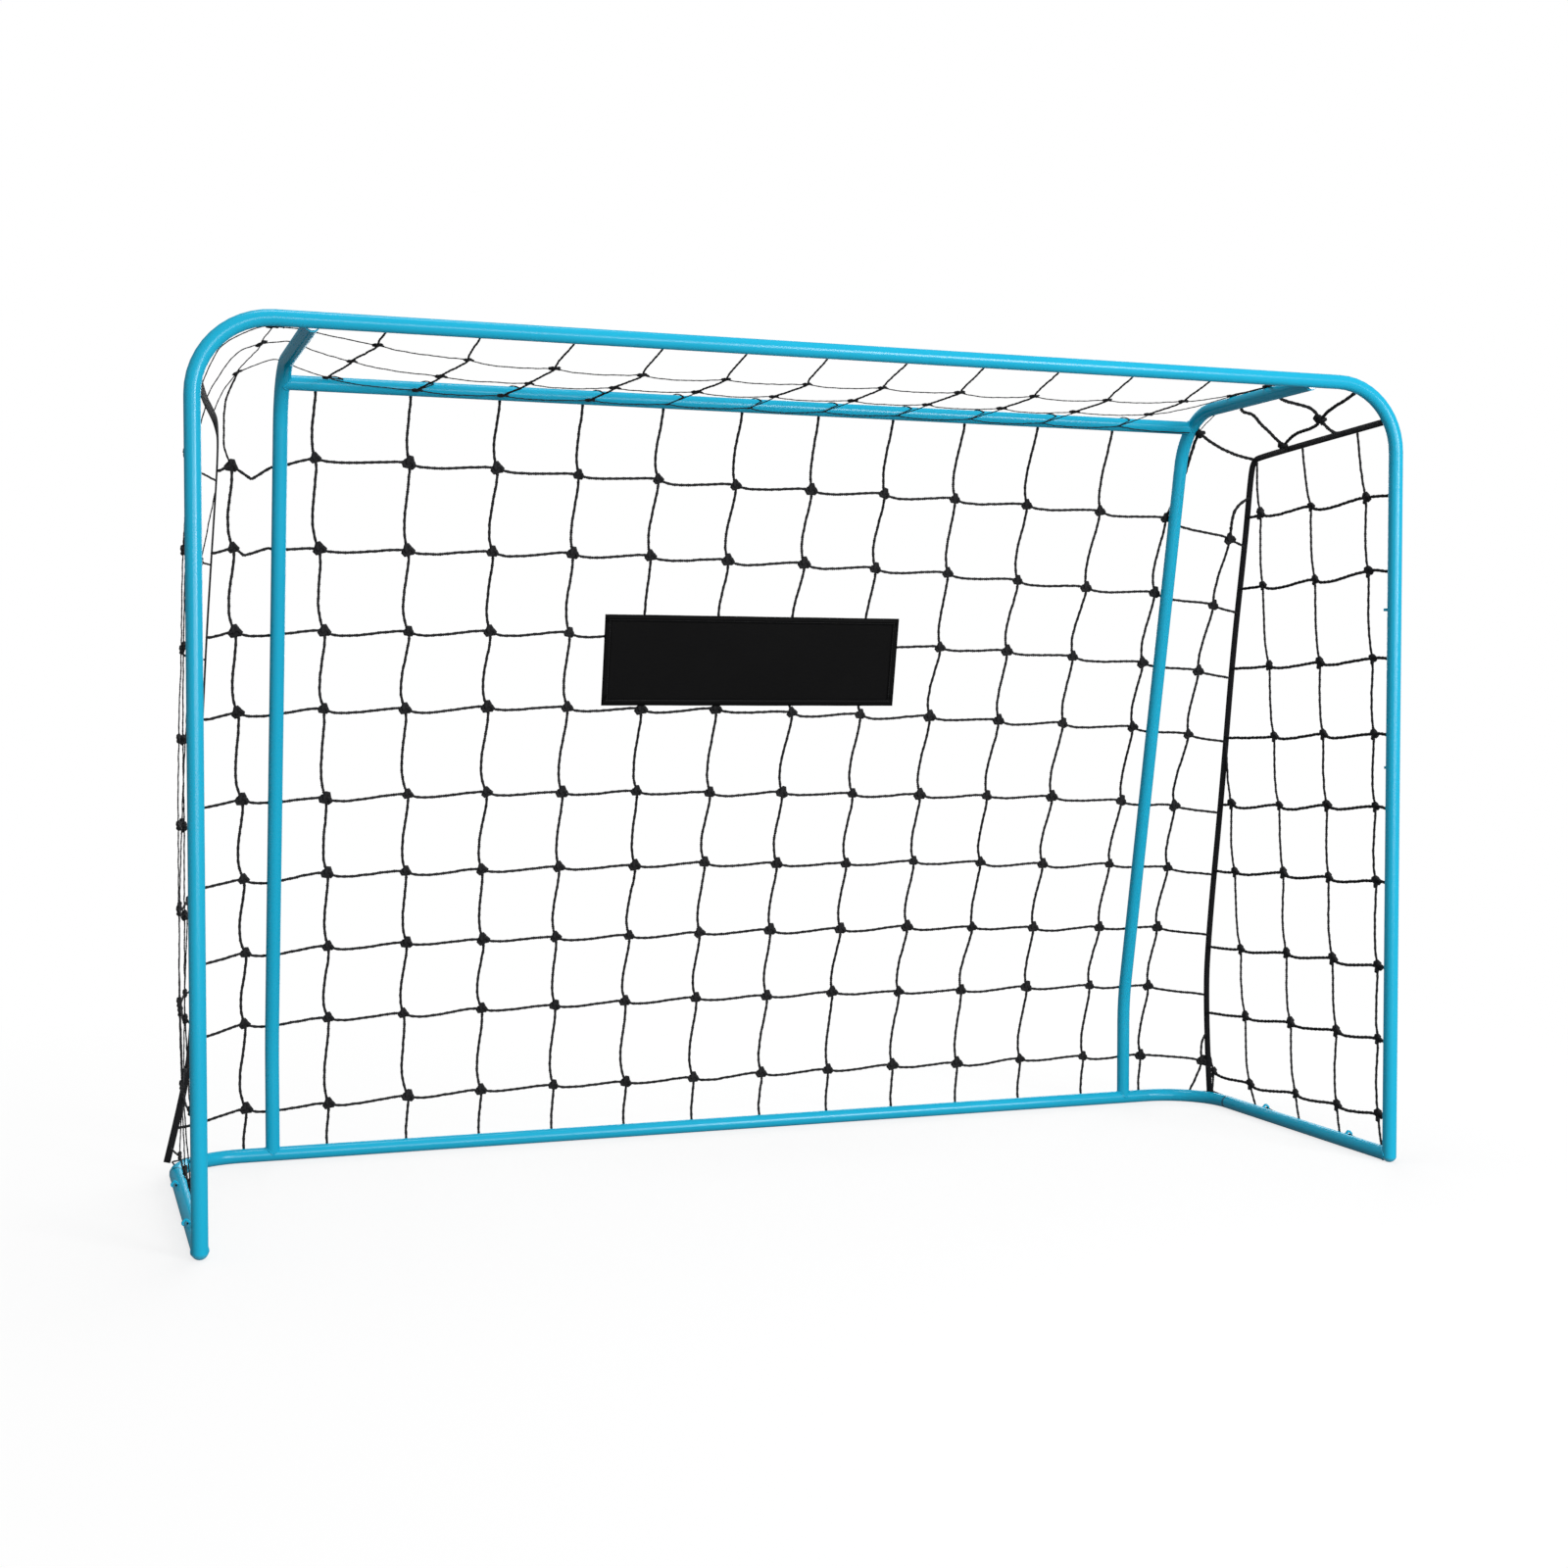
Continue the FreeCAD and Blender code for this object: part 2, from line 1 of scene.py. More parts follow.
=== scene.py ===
import bpy
import math
import random
from itertools import accumulate
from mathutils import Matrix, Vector


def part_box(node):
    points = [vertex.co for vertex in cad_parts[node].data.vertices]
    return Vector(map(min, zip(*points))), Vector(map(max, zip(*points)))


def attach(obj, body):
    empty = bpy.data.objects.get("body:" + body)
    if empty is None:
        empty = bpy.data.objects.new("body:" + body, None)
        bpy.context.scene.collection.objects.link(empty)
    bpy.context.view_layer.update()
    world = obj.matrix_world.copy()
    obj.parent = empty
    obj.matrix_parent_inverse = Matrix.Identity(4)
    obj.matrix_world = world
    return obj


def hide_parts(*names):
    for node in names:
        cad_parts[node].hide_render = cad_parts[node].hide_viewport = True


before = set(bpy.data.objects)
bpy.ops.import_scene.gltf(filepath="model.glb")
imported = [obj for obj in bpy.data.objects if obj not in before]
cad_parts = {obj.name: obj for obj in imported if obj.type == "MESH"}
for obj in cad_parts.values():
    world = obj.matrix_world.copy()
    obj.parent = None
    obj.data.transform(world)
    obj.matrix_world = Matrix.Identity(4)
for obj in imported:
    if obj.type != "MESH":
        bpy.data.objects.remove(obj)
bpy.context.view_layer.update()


# Painted tubes
# The front frame, the ground frame, both stays and the bar between them are thin
# round steel tube, bent cold and then powder coated a glossy sky blue, so the
# coat runs over every bend, weld and hook in one skin with a faint orange peel.

deep_blue, full_blue = (0.004, 0.37, 0.58), (0.008, 0.41, 0.62)
# painted shadow: the dark shade in the joint where each side ground tube plugs into the rear one
seam_shadow_colour = (0.004, 0.03, 0.06)


def add(tree, kind, *numbered, **named):
    """A new node's outputs. Its kind may leave out the tree's own family, as in TexCoord. Capitalised
    names are inputs, each with a value or another node's output, and small ones are settings."""
    made = tree.nodes.new(kind if "Node" in kind else tree.bl_idname.replace("Tree", kind))
    for setting in [name for name in named if name.islower()]:
        setattr(made, setting, named.pop(setting))
    for key, value in [*enumerate(numbered), *named.items()]:
        socket = made.inputs[key if type(key) is int else key.replace("_", " ")]
        if isinstance(value, bpy.types.NodeSocket):
            tree.links.new(value, socket)
        else:
            socket.default_value = value
    return made.outputs


def reckon(tree, operation, *numbers):
    """The result of a sum on numbers and other nodes' outputs."""
    return add(tree, "ShaderNodeMath", *numbers, operation=operation)["Value"]


def noise(tree, place, scale, detail):
    """Random cloud from 0 to 1, finer as its scale grows."""
    return add(tree, "ShaderNodeTexNoise", Vector=place, Scale=scale, Detail=detail)["Fac"]


def ranged(tree, value, low, high, start=0.0, end=1.0):
    """Goes from low to high while the value goes from start to end."""
    return add(tree, "MapRange", Value=value, From_Min=start, From_Max=end,
               To_Min=low, To_Max=high)["Result"]


def blended(tree, share, low, high):
    """A colour between two others, at the share that a node gives."""
    colour = add(tree, "ValToRGB", Fac=share)["Color"]
    for stop, shade in zip(colour.node.color_ramp.elements, (low, high)):
        stop.color = (*shade, 1)
    return colour


def new_material(name, constants):
    """A material and its tree, with what is constant on its surface already set."""
    material = bpy.data.materials.new(name)
    material.use_nodes = True
    for socket, value in constants.items():
        material.node_tree.nodes["Principled BSDF"].inputs[socket].default_value = value
    return material, material.node_tree


def finish(material, relief, strength, distance, **varying):
    """Gives a material its fine relief, and its colour and what else varies over its surface."""
    tree = material.node_tree
    bump = add(tree, "Bump", Height=relief, Strength=strength, Distance=distance)["Normal"]
    for socket, source in {**varying, "Normal": bump}.items():
        tree.links.new(source, tree.nodes["Principled BSDF"].inputs[socket.replace("_", " ")])
    return material


def powder_coat(name, seam=None):
    """Glossy coat. With a seam, a painted shadow darkens a thin line round the tube at that depth, the shade
    in the joint where two tubes meet.
    """
    material, tree = new_material(name, {
        "Roughness": 0.3, "Specular IOR Level": 0.0,
        "Coat Weight": 0.13, "Coat Roughness": 0.21, "Coat IOR": 2.2,
    })
    place = add(tree, "TexCoord")["Object"]
    colour = blended(tree, noise(tree, place, scale=5.0, detail=2.0), deep_blue, full_blue)
    if seam is not None:
        depth = add(tree, "SeparateXYZ", Vector=place)["Y"]
        off = reckon(tree, "ABSOLUTE", reckon(tree, "SUBTRACT", depth, seam))
        # painted shadow: the coat darkens in a thin ring at the joint's depth
        seam_shadow = ranged(tree, off, 0.8, 0.0, start=0.001, end=0.0042)
        mixed = add(tree, "Mix", Factor=seam_shadow, A=colour, B=(*seam_shadow_colour, 1), data_type="RGBA")
        colour = mixed["Result"]
    peel = noise(tree, place, scale=420.0, detail=1.0)
    return finish(material, peel, strength=0.01, distance=0.0001, Base_Color=colour)


def dress(material, *nodes):
    """Gives CAD pieces their finish."""
    for name in nodes:
        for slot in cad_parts[name].material_slots:
            slot.material = material


sky_blue_coat = powder_coat("sky_blue_powder_coat")
# the ground tubes' coat carries a painted shadow at the joint where the side tubes plug into the rear tube
blue_coat_with_seam_shadow = powder_coat("sky_blue_coat_with_seam_shadow", seam=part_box("side_ground_tube_right")[1].y)
dress(sky_blue_coat, "front_frame_tube", "stay_left", "stay_right", "rear_top_bar")
dress(blue_coat_with_seam_shadow, "side_ground_tube_left", "side_ground_tube_right", "rear_ground_tube")
dress(sky_blue_coat, "crossbar_net_hooks", "rear_rail_net_hooks", "post_net_hooks_left",
      "post_net_hooks_right", "side_tube_net_hooks_left", "side_tube_net_hooks_right")

front_low, front_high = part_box("front_frame_tube")
tube_radius = (front_high.y - front_low.y) / 2
front_y = front_low.y + tube_radius
post_x = front_high.x - tube_radius
crossbar_z = front_high.z - tube_radius
ground_z = tube_radius
rear_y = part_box("rear_ground_tube")[1].y - tube_radius
stay_low, stay_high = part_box("stay_right")
stay_x = (stay_low.x + stay_high.x) / 2
stay_z = stay_high.z - tube_radius
bar_low, bar_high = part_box("rear_top_bar")
bar_y = (bar_low.y + bar_high.y) / 2
bar_z = (bar_low.z + bar_high.z) / 2


# Foot plugs
# Domed plastic plugs pressed into the feet of the posts. They are moulded in the
# frame's own blue, with a satin grain, and are darker and greyer in blotches round the pad.

def foot_plastic():
    """Blue plastic, darker and greyer in blotches over its lowest few millimetres."""
    material, tree = new_material("blue_foot_plastic", {"Roughness": 0.48})
    place = add(tree, "TexCoord")["Object"]
    height = add(tree, "SeparateXYZ", Vector=place)["Z"]
    grain = noise(tree, place, scale=260.0, detail=5.0)
    # darker towards the bottom, in blotches that follow the grain
    darker_low = reckon(tree, "MULTIPLY", ranged(tree, height, 0.55, 0.0, end=0.006), grain)
    colour = blended(tree, darker_low, (0.02, 0.4, 0.6), (0.03, 0.1, 0.12))
    return finish(material, grain, strength=0.2, distance=0.0002, Base_Color=colour)


dress(foot_plastic(), "foot_caps")


# Stays' plugs and screws
# Each stay slides on a plain steel plug behind the crossbar and is held by one
# zinc plated screw with a domed head, driven down from above.

def bare_steel(name, colour, roughness, scratch_scale):
    """Scratched metal, darker and smoother in the hollows of its grain."""
    material, tree = new_material(name, {"Metallic": 1.0})
    place = add(tree, "TexCoord")["Object"]
    grain = noise(tree, place, scratch_scale, detail=6.0)
    rough = ranged(tree, grain, roughness - 0.08, roughness + 0.1)
    shade = blended(tree, grain, [0.72 * part for part in colour], colour)
    return finish(material, grain, strength=0.15, distance=0.0002, Base_Color=shade, Roughness=rough)


dress(bare_steel("plug_steel", (0.42, 0.43, 0.45), 0.38, 300.0), "stay_plugs")
dress(bare_steel("zinc_plated_steel", (0.62, 0.63, 0.64), 0.26, 800.0), "stay_screws")


# Welds
# Where one tube is welded to another, a small fillet bead runs round the joint.
# It was laid in short overlapping pools, and the powder coat covers it.

bead_radius = 0.0013
bead_floor = 0.0017  # lowest middle of a bead, so that it stays above the ground
bend_radius = 0.102
lean = math.radians(11.552)
bar_turn = (math.pi / 2 + lean) / 2  # how far round the stays' bends the top bar is welded


def at(x, y, z):
    """A place, or a direction."""
    return Vector((x, y, z))


x_axis, y_axis, z_axis = at(1, 0, 0), at(0, 1, 0), at(0, 0, 1)
bar_run = at(0, -math.sin(bar_turn), math.cos(bar_turn))


def placed(name, data):
    """A new object of the scene."""
    piece = bpy.data.objects.new(name, data)
    bpy.context.scene.collection.objects.link(piece)
    return piece


def growth_tree(name, *sizes, **others):
    """A tree with a geometry, a material, and its sizes as number inputs, and others of their kind."""
    tree = bpy.data.node_groups.new(name, "GeometryNodeTree")
    kinds = {"Geometry": "Geometry", **dict.fromkeys(sizes, "Float"), "Material": "Material", **others}
    for socket, kind in kinds.items():
        tree.interface.new_socket(socket, in_out="INPUT", socket_type="NodeSocket" + kind)
    tree.interface.new_socket("Geometry", in_out="OUTPUT", socket_type="NodeSocketGeometry")
    return tree, tree.nodes.new("NodeGroupInput").outputs


def finish_tree(tree, geometry, material):
    """Closes a tree: real faces, smooth, with their material."""
    for kind in ("RealizeInstances", "SetShadeSmooth"):
        geometry = add(tree, kind, Geometry=geometry)["Geometry"]
    painted = add(tree, "SetMaterial", Geometry=geometry, Material=material)
    add(tree, "NodeGroupOutput", Geometry=painted["Geometry"])


def grown(name, tree, seed, values):
    """A plain mesh piece that a tree makes from a seed mesh."""
    piece = placed(name, seed)
    growth = piece.modifiers.new("growth", "NODES")
    growth.node_group = tree
    for socket in tree.interface.items_tree:
        if socket.in_out == "INPUT" and socket.name in values:
            growth[socket.identifier] = values[socket.name]
    ready = bpy.context.evaluated_depsgraph_get()
    mesh = bpy.data.meshes.new_from_object(piece.evaluated_get(ready), preserve_all_data_layers=True,
                                           depsgraph=ready)
    piece.modifiers.clear()
    piece.data = mesh
    mesh.name = name
    return piece


def line_mesh(name, lines, closed=False):
    """A mesh of edges along lines of points."""
    points, edges = [], []
    for line in lines:
        first = len(points)
        points += line
        edges += [(k, k + 1) for k in range(first, len(points) - 1)]
        if closed:
            edges.append((len(points) - 1, first))
    mesh = bpy.data.meshes.new(name)
    mesh.from_pydata(points, edges, [])
    return mesh


def weld_tree():
    """Turns a seam into a bead that swells once in each pool."""
    tree, given = growth_tree("weld_bead", "Bead radius", "Pool length", "Pool depth")
    curve = add(tree, "MeshToCurve", Mesh=given["Geometry"])["Curve"]
    even = add(tree, "ResampleCurve", Curve=curve, Length=0.0011, mode="LENGTH")["Curve"]
    along = add(tree, "SplineParameter")["Length"]
    pool = reckon(tree, "FRACT", reckon(tree, "DIVIDE", along, given["Pool length"]))
    swell = reckon(tree, "MULTIPLY_ADD", pool, given["Pool depth"], 0.85)
    bead = reckon(tree, "MULTIPLY", swell, given["Bead radius"])
    ring = add(tree, "CurvePrimitiveCircle", Resolution=8, Radius=1.0)["Curve"]
    tube = add(tree, "CurveToMesh", Curve=even, Profile_Curve=ring, Scale=bead)
    finish_tree(tree, tube["Mesh"], given["Material"])
    return tree


def saddle(centre, branch, main, steps=48):
    """The seam where a tube along branch meets one of the same size along main."""
    across = branch.cross(main).normalized()
    seam = []
    for step in range(steps):
        angle = math.tau * step / steps
        aside = main * math.cos(angle) + across * math.sin(angle)
        place = centre + (aside + branch * abs(math.cos(angle))) * tube_radius
        place.z = max(place.z, bead_floor)
        seam.append(place)
    return seam


weld_bead = weld_tree()
joints = {  # each right-hand joint's middle, and the ways of its branch and its main tube
    "weld_side_tube": (at(post_x, front_y, ground_z), y_axis, z_axis),
    "weld_stay_foot": (at(stay_x, rear_y, ground_z), z_axis, x_axis),
    "weld_top_bar": (at(stay_x, bar_y, bar_z), -x_axis, bar_run),
}
for joint, (centre, branch, main) in joints.items():
    for hand, mirror in (("_left", at(-1, 1, 1)), ("_right", at(1, 1, 1))):
        seam = line_mesh(joint + hand, [saddle(centre * mirror, branch * mirror, main)], closed=True)
        bead = grown(joint + hand, weld_bead, seam, {
            "Bead radius": bead_radius, "Pool length": 0.0027, "Pool depth": 0.3, "Material": sky_blue_coat,
        })
        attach(bead, "root")


# Back net
# A square mesh of twisted black cord, tied with a bulky knot at each crossing.
# It hangs behind the stays from the top bar to the ground rail, rather slack, so
# each cord bows between its knots, and it folds forward round the rear corners.

cord_radius = 0.0024
cord_lay = 0.022  # length of one full turn of the cord's two strands
ring_spacing = 0.0035  # between the rings of points along a cord
slack_wobble = 0.0022
knot_size = 0.0088
net_clearance = 0.0024  # from a tube's surface to the cord's middle
tight_clearance = 0.0012  # the same where a cord is drawn tight over the top bar
net_reach = tube_radius + net_clearance
rng = random.Random(7)


def net_cord_material():
    """Black cord, its two strands shown by where a point lies round and along it."""
    material, tree = new_material("twisted_net_cord", {"Roughness": 0.88, "Specular IOR Level": 0.08})
    turn = add(tree, "Attribute", attribute_name="strand_turn")["Vector"]
    run = add(tree, "Attribute", attribute_name="strand_length")["Fac"]
    parts = add(tree, "SeparateXYZ", Vector=turn)
    angle = reckon(tree, "ARCTAN2", parts["Y"], parts["X"])
    phase = reckon(tree, "ADD", angle, reckon(tree, "MULTIPLY", run, math.tau / cord_lay))
    strand = reckon(tree, "SINE", reckon(tree, "MULTIPLY", phase, 2.0))
    place = add(tree, "TexCoord")["Object"]
    relief = reckon(tree, "MULTIPLY_ADD", strand, 0.5, noise(tree, place, scale=900.0, detail=4.0))
    shade = reckon(tree, "MULTIPLY_ADD", strand, 0.14, noise(tree, place, scale=14.0, detail=2.0))
    colour = blended(tree, shade, (0.01, 0.01, 0.011), (0.03, 0.03, 0.032))
    return finish(material, relief, strength=0.6, distance=0.0006, Base_Color=colour)


def mark(mesh, name, numbers, kind="FLOAT", field="value"):
    """Stores numbers on the points of a mesh."""
    mesh.attributes.new(name, kind, "POINT").data.foreach_set(field, numbers)


def knot_mesh(name, steps=15, sides=5):
    """A cord wrapped three times over itself, the lump that each crossing is tied in."""
    size, width, height, girth = 1 / 2.2, 0.68, 0.5, 0.92 / 2.6  # for a lump about 1 across
    centres = []
    for step in range(steps):
        t = math.tau * step / steps
        across = (math.sin(t) + 2 * math.sin(2 * t)) * width
        up = (math.cos(t) - 2 * math.cos(2 * t)) * width
        centres.append(at(across, up, -math.sin(3 * t) * height) * size)
    points, faces, turns, runs = [], [], [], []
    for step, centre in enumerate(centres):
        ahead = (centres[(step + 1) % steps] - centres[step - 1]).normalized()
        side = ahead.cross(z_axis).normalized()
        top = side.cross(ahead)
        here, there = step * sides, (step + 1) % steps * sides
        for k in range(sides):
            angle = math.tau * k / sides
            points.append(centre + (side * math.cos(angle) + top * math.sin(angle)) * girth)
            turns += [math.cos(angle), math.sin(angle), 0]
            runs.append(step * ring_spacing)
            after = (k + 1) % sides
            faces.append((here + k, here + after, there + after, there + k))
    mesh = bpy.data.meshes.new(name)
    mesh.from_pydata(points, [], faces)
    mark(mesh, "strand_turn", turns, "FLOAT_VECTOR", "vector")
    mark(mesh, "strand_length", runs)
    return mesh


def stored(tree, name, kind="FLOAT"):
    """What a mesh's points store under a name."""
    return add(tree, "InputNamedAttribute", Name=name, data_type=kind)["Attribute"]


def store(tree, geometry, name, value, kind):
    """Has the points store a value under a name."""
    return add(tree, "StoreNamedAttribute", Geometry=geometry, Name=name, Value=value,
               data_type=kind, domain="POINT")["Geometry"]


def net_tree():
    """Turns lines into twisted cord, and each point marked as a knot into a tied lump."""
    tree, given = growth_tree("knotted_net", "Cord radius", "Ring spacing", "Lay length", "Slack wobble",
                              "Knot size", "Knot height", Knot="Object")
    curve = add(tree, "MeshToCurve", Mesh=given["Geometry"])["Curve"]
    even = add(tree, "ResampleCurve", Curve=curve, Length=given["Ring spacing"], mode="LENGTH")
    place = add(tree, "InputPosition")["Position"]
    cloud = add(tree, "ShaderNodeTexNoise", Vector=place, Scale=70.0, Detail=2.0)["Color"]
    centred = add(tree, "ShaderNodeVectorMath", cloud, (0.5, 0.5, 0.5), operation="SUBTRACT")["Vector"]
    wobble = add(tree, "ShaderNodeVectorMath", centred, Scale=given["Slack wobble"], operation="SCALE")
    moved = add(tree, "SetPosition", Geometry=even["Curve"], Offset=wobble["Vector"])
    along = add(tree, "SplineParameter")["Length"]
    measured = store(tree, moved["Geometry"], "strand_length", along, "FLOAT")
    tilt = reckon(tree, "MULTIPLY", reckon(tree, "DIVIDE", along, given["Lay length"]), math.tau)
    twisted = add(tree, "SetCurveTilt", Curve=measured, Tilt=tilt)["Curve"]
    ring = add(tree, "CurvePrimitiveCircle", Resolution=6, Radius=given["Cord radius"])
    outward = add(tree, "ShaderNodeVectorMath", place, operation="NORMALIZE")["Vector"]
    signed = store(tree, ring["Curve"], "strand_turn", outward, "FLOAT_VECTOR")
    oval = add(tree, "Transform", Geometry=signed, Scale=(1.08, 0.9, 1.0))["Geometry"]
    cords = add(tree, "CurveToMesh", Curve=twisted, Profile_Curve=oval,
                Scale=stored(tree, "girth"), Fill_Caps=True)["Mesh"]

    share = stored(tree, "knot")
    chosen = add(tree, "FunctionNodeCompare", A=share, B=0.1, operation="GREATER_THAN")["Result"]
    crossings = add(tree, "MeshToPoints", Mesh=given["Geometry"], Selection=chosen)["Points"]
    facing = stored(tree, "facing", "FLOAT_VECTOR")
    square_on = add(tree, "FunctionNodeAlignRotationToVector", Vector=facing, axis="Z")["Rotation"]
    spin = add(tree, "FunctionNodeRandomValue", Min=-0.35, Max=0.35, Seed=4, data_type="FLOAT")[1]
    about = add(tree, "ShaderNodeCombineXYZ", Z=spin)["Vector"]
    turned = add(tree, "FunctionNodeRotateRotation", Rotation=square_on, Rotate_By=about,
                 rotation_space="LOCAL")["Rotation"]
    vary = add(tree, "FunctionNodeRandomValue", Min=0.88, Max=1.12, Seed=9, data_type="FLOAT")[1]
    wide = reckon(tree, "MULTIPLY", reckon(tree, "MULTIPLY", vary, share), given["Knot size"])
    tall = reckon(tree, "MULTIPLY", wide, given["Knot height"])
    size = add(tree, "ShaderNodeCombineXYZ", X=wide, Y=wide, Z=tall)["Vector"]
    lump = add(tree, "ObjectInfo", Object=given["Knot"])["Geometry"]
    tied = add(tree, "InstanceOnPoints", Points=crossings, Instance=lump,
               Rotation=turned, Scale=size)["Instances"]
    both = add(tree, "JoinGeometry", Geometry=cords)["Geometry"]
    tree.links.new(tied, both.node.inputs["Geometry"])
    finish_tree(tree, both, given["Material"])
    return tree


knotted_net = net_tree()
net_cord = net_cord_material()
knot_form = bpy.data.objects.new("knot_form", knot_mesh("knot_form"))


def tied_net(name, strands, knots, *nodes, thin=(), share=0.55, radius=cord_radius, knot=knot_size,
             height=1.0):
    """A net piece from its cords' lines, those of less girth, and its knots: place, way it faces, share."""
    seed = line_mesh(name, [*strands, *thin, *([tie[0]] for tie in knots)])
    full, slight = sum(len(line) for line in strands), sum(len(line) for line in thin)
    unmarked = [0.0] * (full + slight)
    mark(seed, "girth", [1.0] * full + [share] * slight + [1.0] * len(knots))
    mark(seed, "knot", unmarked + [tie[2] if len(tie) > 2 else 1.0 for tie in knots])
    mark(seed, "facing", unmarked * 3 + [part for tie in knots for part in tie[1]], "FLOAT_VECTOR", "vector")
    piece = grown(name, knotted_net, seed, {
        "Cord radius": radius, "Ring spacing": ring_spacing, "Lay length": cord_lay, "Material": net_cord,
        "Slack wobble": slack_wobble, "Knot size": knot, "Knot height": height, "Knot": knot_form,
    })
    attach(piece, "root")
    if nodes:
        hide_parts(*nodes)


def bowed(start, end, first_pull, last_pull, first_at=0.22, last_at=0.72, steps=12):
    """A slack cord between two places, drawn aside near its start and its end."""
    loose = rng.uniform(0.75, 1.25)
    early = start + (end - start) * first_at + first_pull * loose
    late = start + (end - start) * last_at + last_pull * loose
    line = []
    for step in range(steps + 1):
        t, rest = step / steps, 1 - step / steps
        line.append(start * rest ** 3 + early * 3 * t * rest ** 2 + late * 3 * t * t * rest + end * t ** 3)
    return line


def hanging(start, end, slack=1.0):
    """A cord down from one knot to the next, in a long S."""
    sway = (end - start).length * slack
    return bowed(start, end, x_axis * (0.04 * sway), x_axis * (-0.15 * sway))


def crossing(start, end, slack=1.0):
    """A cord across from one knot to the next: it leaves low and comes in high."""
    sag = (end - start).length * slack
    return bowed(start, end, z_axis * (-0.12 * sag), z_axis * (0.035 * sag), 0.16, 0.8)


row_heights = [1.049, 0.932, 0.812, 0.696, 0.565, 0.447, 0.333, 0.221, 0.09]
columns = 14
upright_below = 0.19  # where the back net turns upright at the rail
bend_centre = at(0, bar_y, bar_z) - bend_radius * at(0, math.cos(bar_turn), math.sin(bar_turn))
rail_corner_x = post_x - bend_radius
rail_net_y = rear_y + net_reach
banner_low, banner_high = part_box("banner")
banner_middle = (banner_low + banner_high) / 2
banner_reach = (banner_high - banner_low) / 2 + at(0.01, 0.01, 0.01)


def row_share(z, heights):
    """0 at the lowest row of knots and 1 at the highest."""
    return (z - heights[-1]) / (heights[0] - heights[-1])


def behind(x, z):
    """The back net's depth: on the stays' slope, upright at the rail, forward round the corners."""
    sloped = bend_centre.y + (bend_radius + net_reach - (z - bend_centre.z) * math.sin(lean)) / math.cos(lean)
    corner = rail_net_y - max(0.0, abs(x) - rail_corner_x) * 0.55
    return min(sloped, rail_net_y, corner)


strained = {  # (row, column): how far stays, bar and tape draw that knot across and up
    (0, 1): (-0.01, 0.013), (0, 2): (0.001, 0.008), (0, 3): (0.009, 0.004), (0, 4): (0.008, 0),
    (0, 5): (0.007, 0.001), (0, 6): (0.004, -0.004), (0, 7): (0.005, 0), (0, 9): (-0.003, 0.005),
    (0, 10): (-0.003, 0.009), (0, 11): (0.006, 0.011), (0, 12): (0.008, 0.014), (0, 13): (0.008, 0),
    (1, 1): (-0.005, 0), (1, 3): (0.005, 0), (2, 13): (-0.006, 0), (3, 13): (-0.009, 0),
    (4, 13): (-0.007, 0), (8, 12): (0.005, 0),
}
for row in range(1, 8):
    strained[row, 12] = (0.008, 0)


def back_knot(row, column):
    """The rows hang a little lower to the right and at both ends, and the columns spread to the top."""
    z = row_heights[row]
    share = row_share(z, row_heights)
    across = column - 6.5
    x = 0.0062 + 0.0163 * share + across * (0.1193 + 0.0082 * share) + rng.uniform(-0.003, 0.003)
    z += 0.0034 * share - 0.0041 * share * across - (0.0002 + 0.0004 * share) * across ** 2
    if column == columns - 1:
        z -= 0.009 * share
    if column == 0 and share < 0.2:
        x -= 0.008
    aside, up = strained.get((row, column), (0, 0))
    x += aside
    z += up + rng.uniform(-0.0022, 0.0022)
    place = at(x, behind(x, z), z)
    off = place - banner_middle
    if abs(off.x) < banner_reach.x and abs(off.z) < banner_reach.z:
        place.y += 0.005
    return place


tape_places = {  # each from the post's bend back to the corner and down to the ground
    1: [
        (0.878, front_y + 0.0115, 1.1405), (0.878, -0.1, 1.1335), (0.878, 0.07, 1.126), (0.8782, 0.09, 1.123),
        (0.8786, 0.101, 1.104), (0.88, 0.119, 0.995), (0.884, 0.164, 0.8), (0.886, 0.2, 0.56),
        (0.88, 0.23, 0.32), (0.8795, 0.242, 0.18), (0.89, 0.242, 0.012),
    ],
    -1: [
        (-0.881, front_y + 0.0115, 1.121), (-0.865, -0.12, 1.119), (-0.837, 0.06, 1.116),
        (-0.831, 0.086, 1.108), (-0.827, 0.095, 1.078), (-0.836, 0.122, 0.925), (-0.844, 0.158, 0.77),
        (-0.856, 0.222, 0.44), (-0.86, 0.236, 0.21), (-0.876, 0.236, 0.118), (-0.901, 0.229, 0.02),
    ],
}
tape_routes = {side: [Vector(place) for place in places] for side, places in tape_places.items()}


def along_tape(side, z):
    """The place on a tape's falling run at a height."""
    run = tape_routes[side][3:]
    z = max(run[-1].z, min(z, run[0].z))
    for high, low in zip(run, run[1:]):
        if z >= low.z:
            return low.lerp(high, (z - low.z) / (high.z - low.z))


def under_tape(side, y):
    """The place on a tape's upper run at a depth."""
    run = tape_routes[side][:4]
    for front, rear in zip(run, run[1:]):
        if y <= rear.y:
            return front.lerp(rear, (y - front.y) / (rear.y - front.y))
    return run[-1]


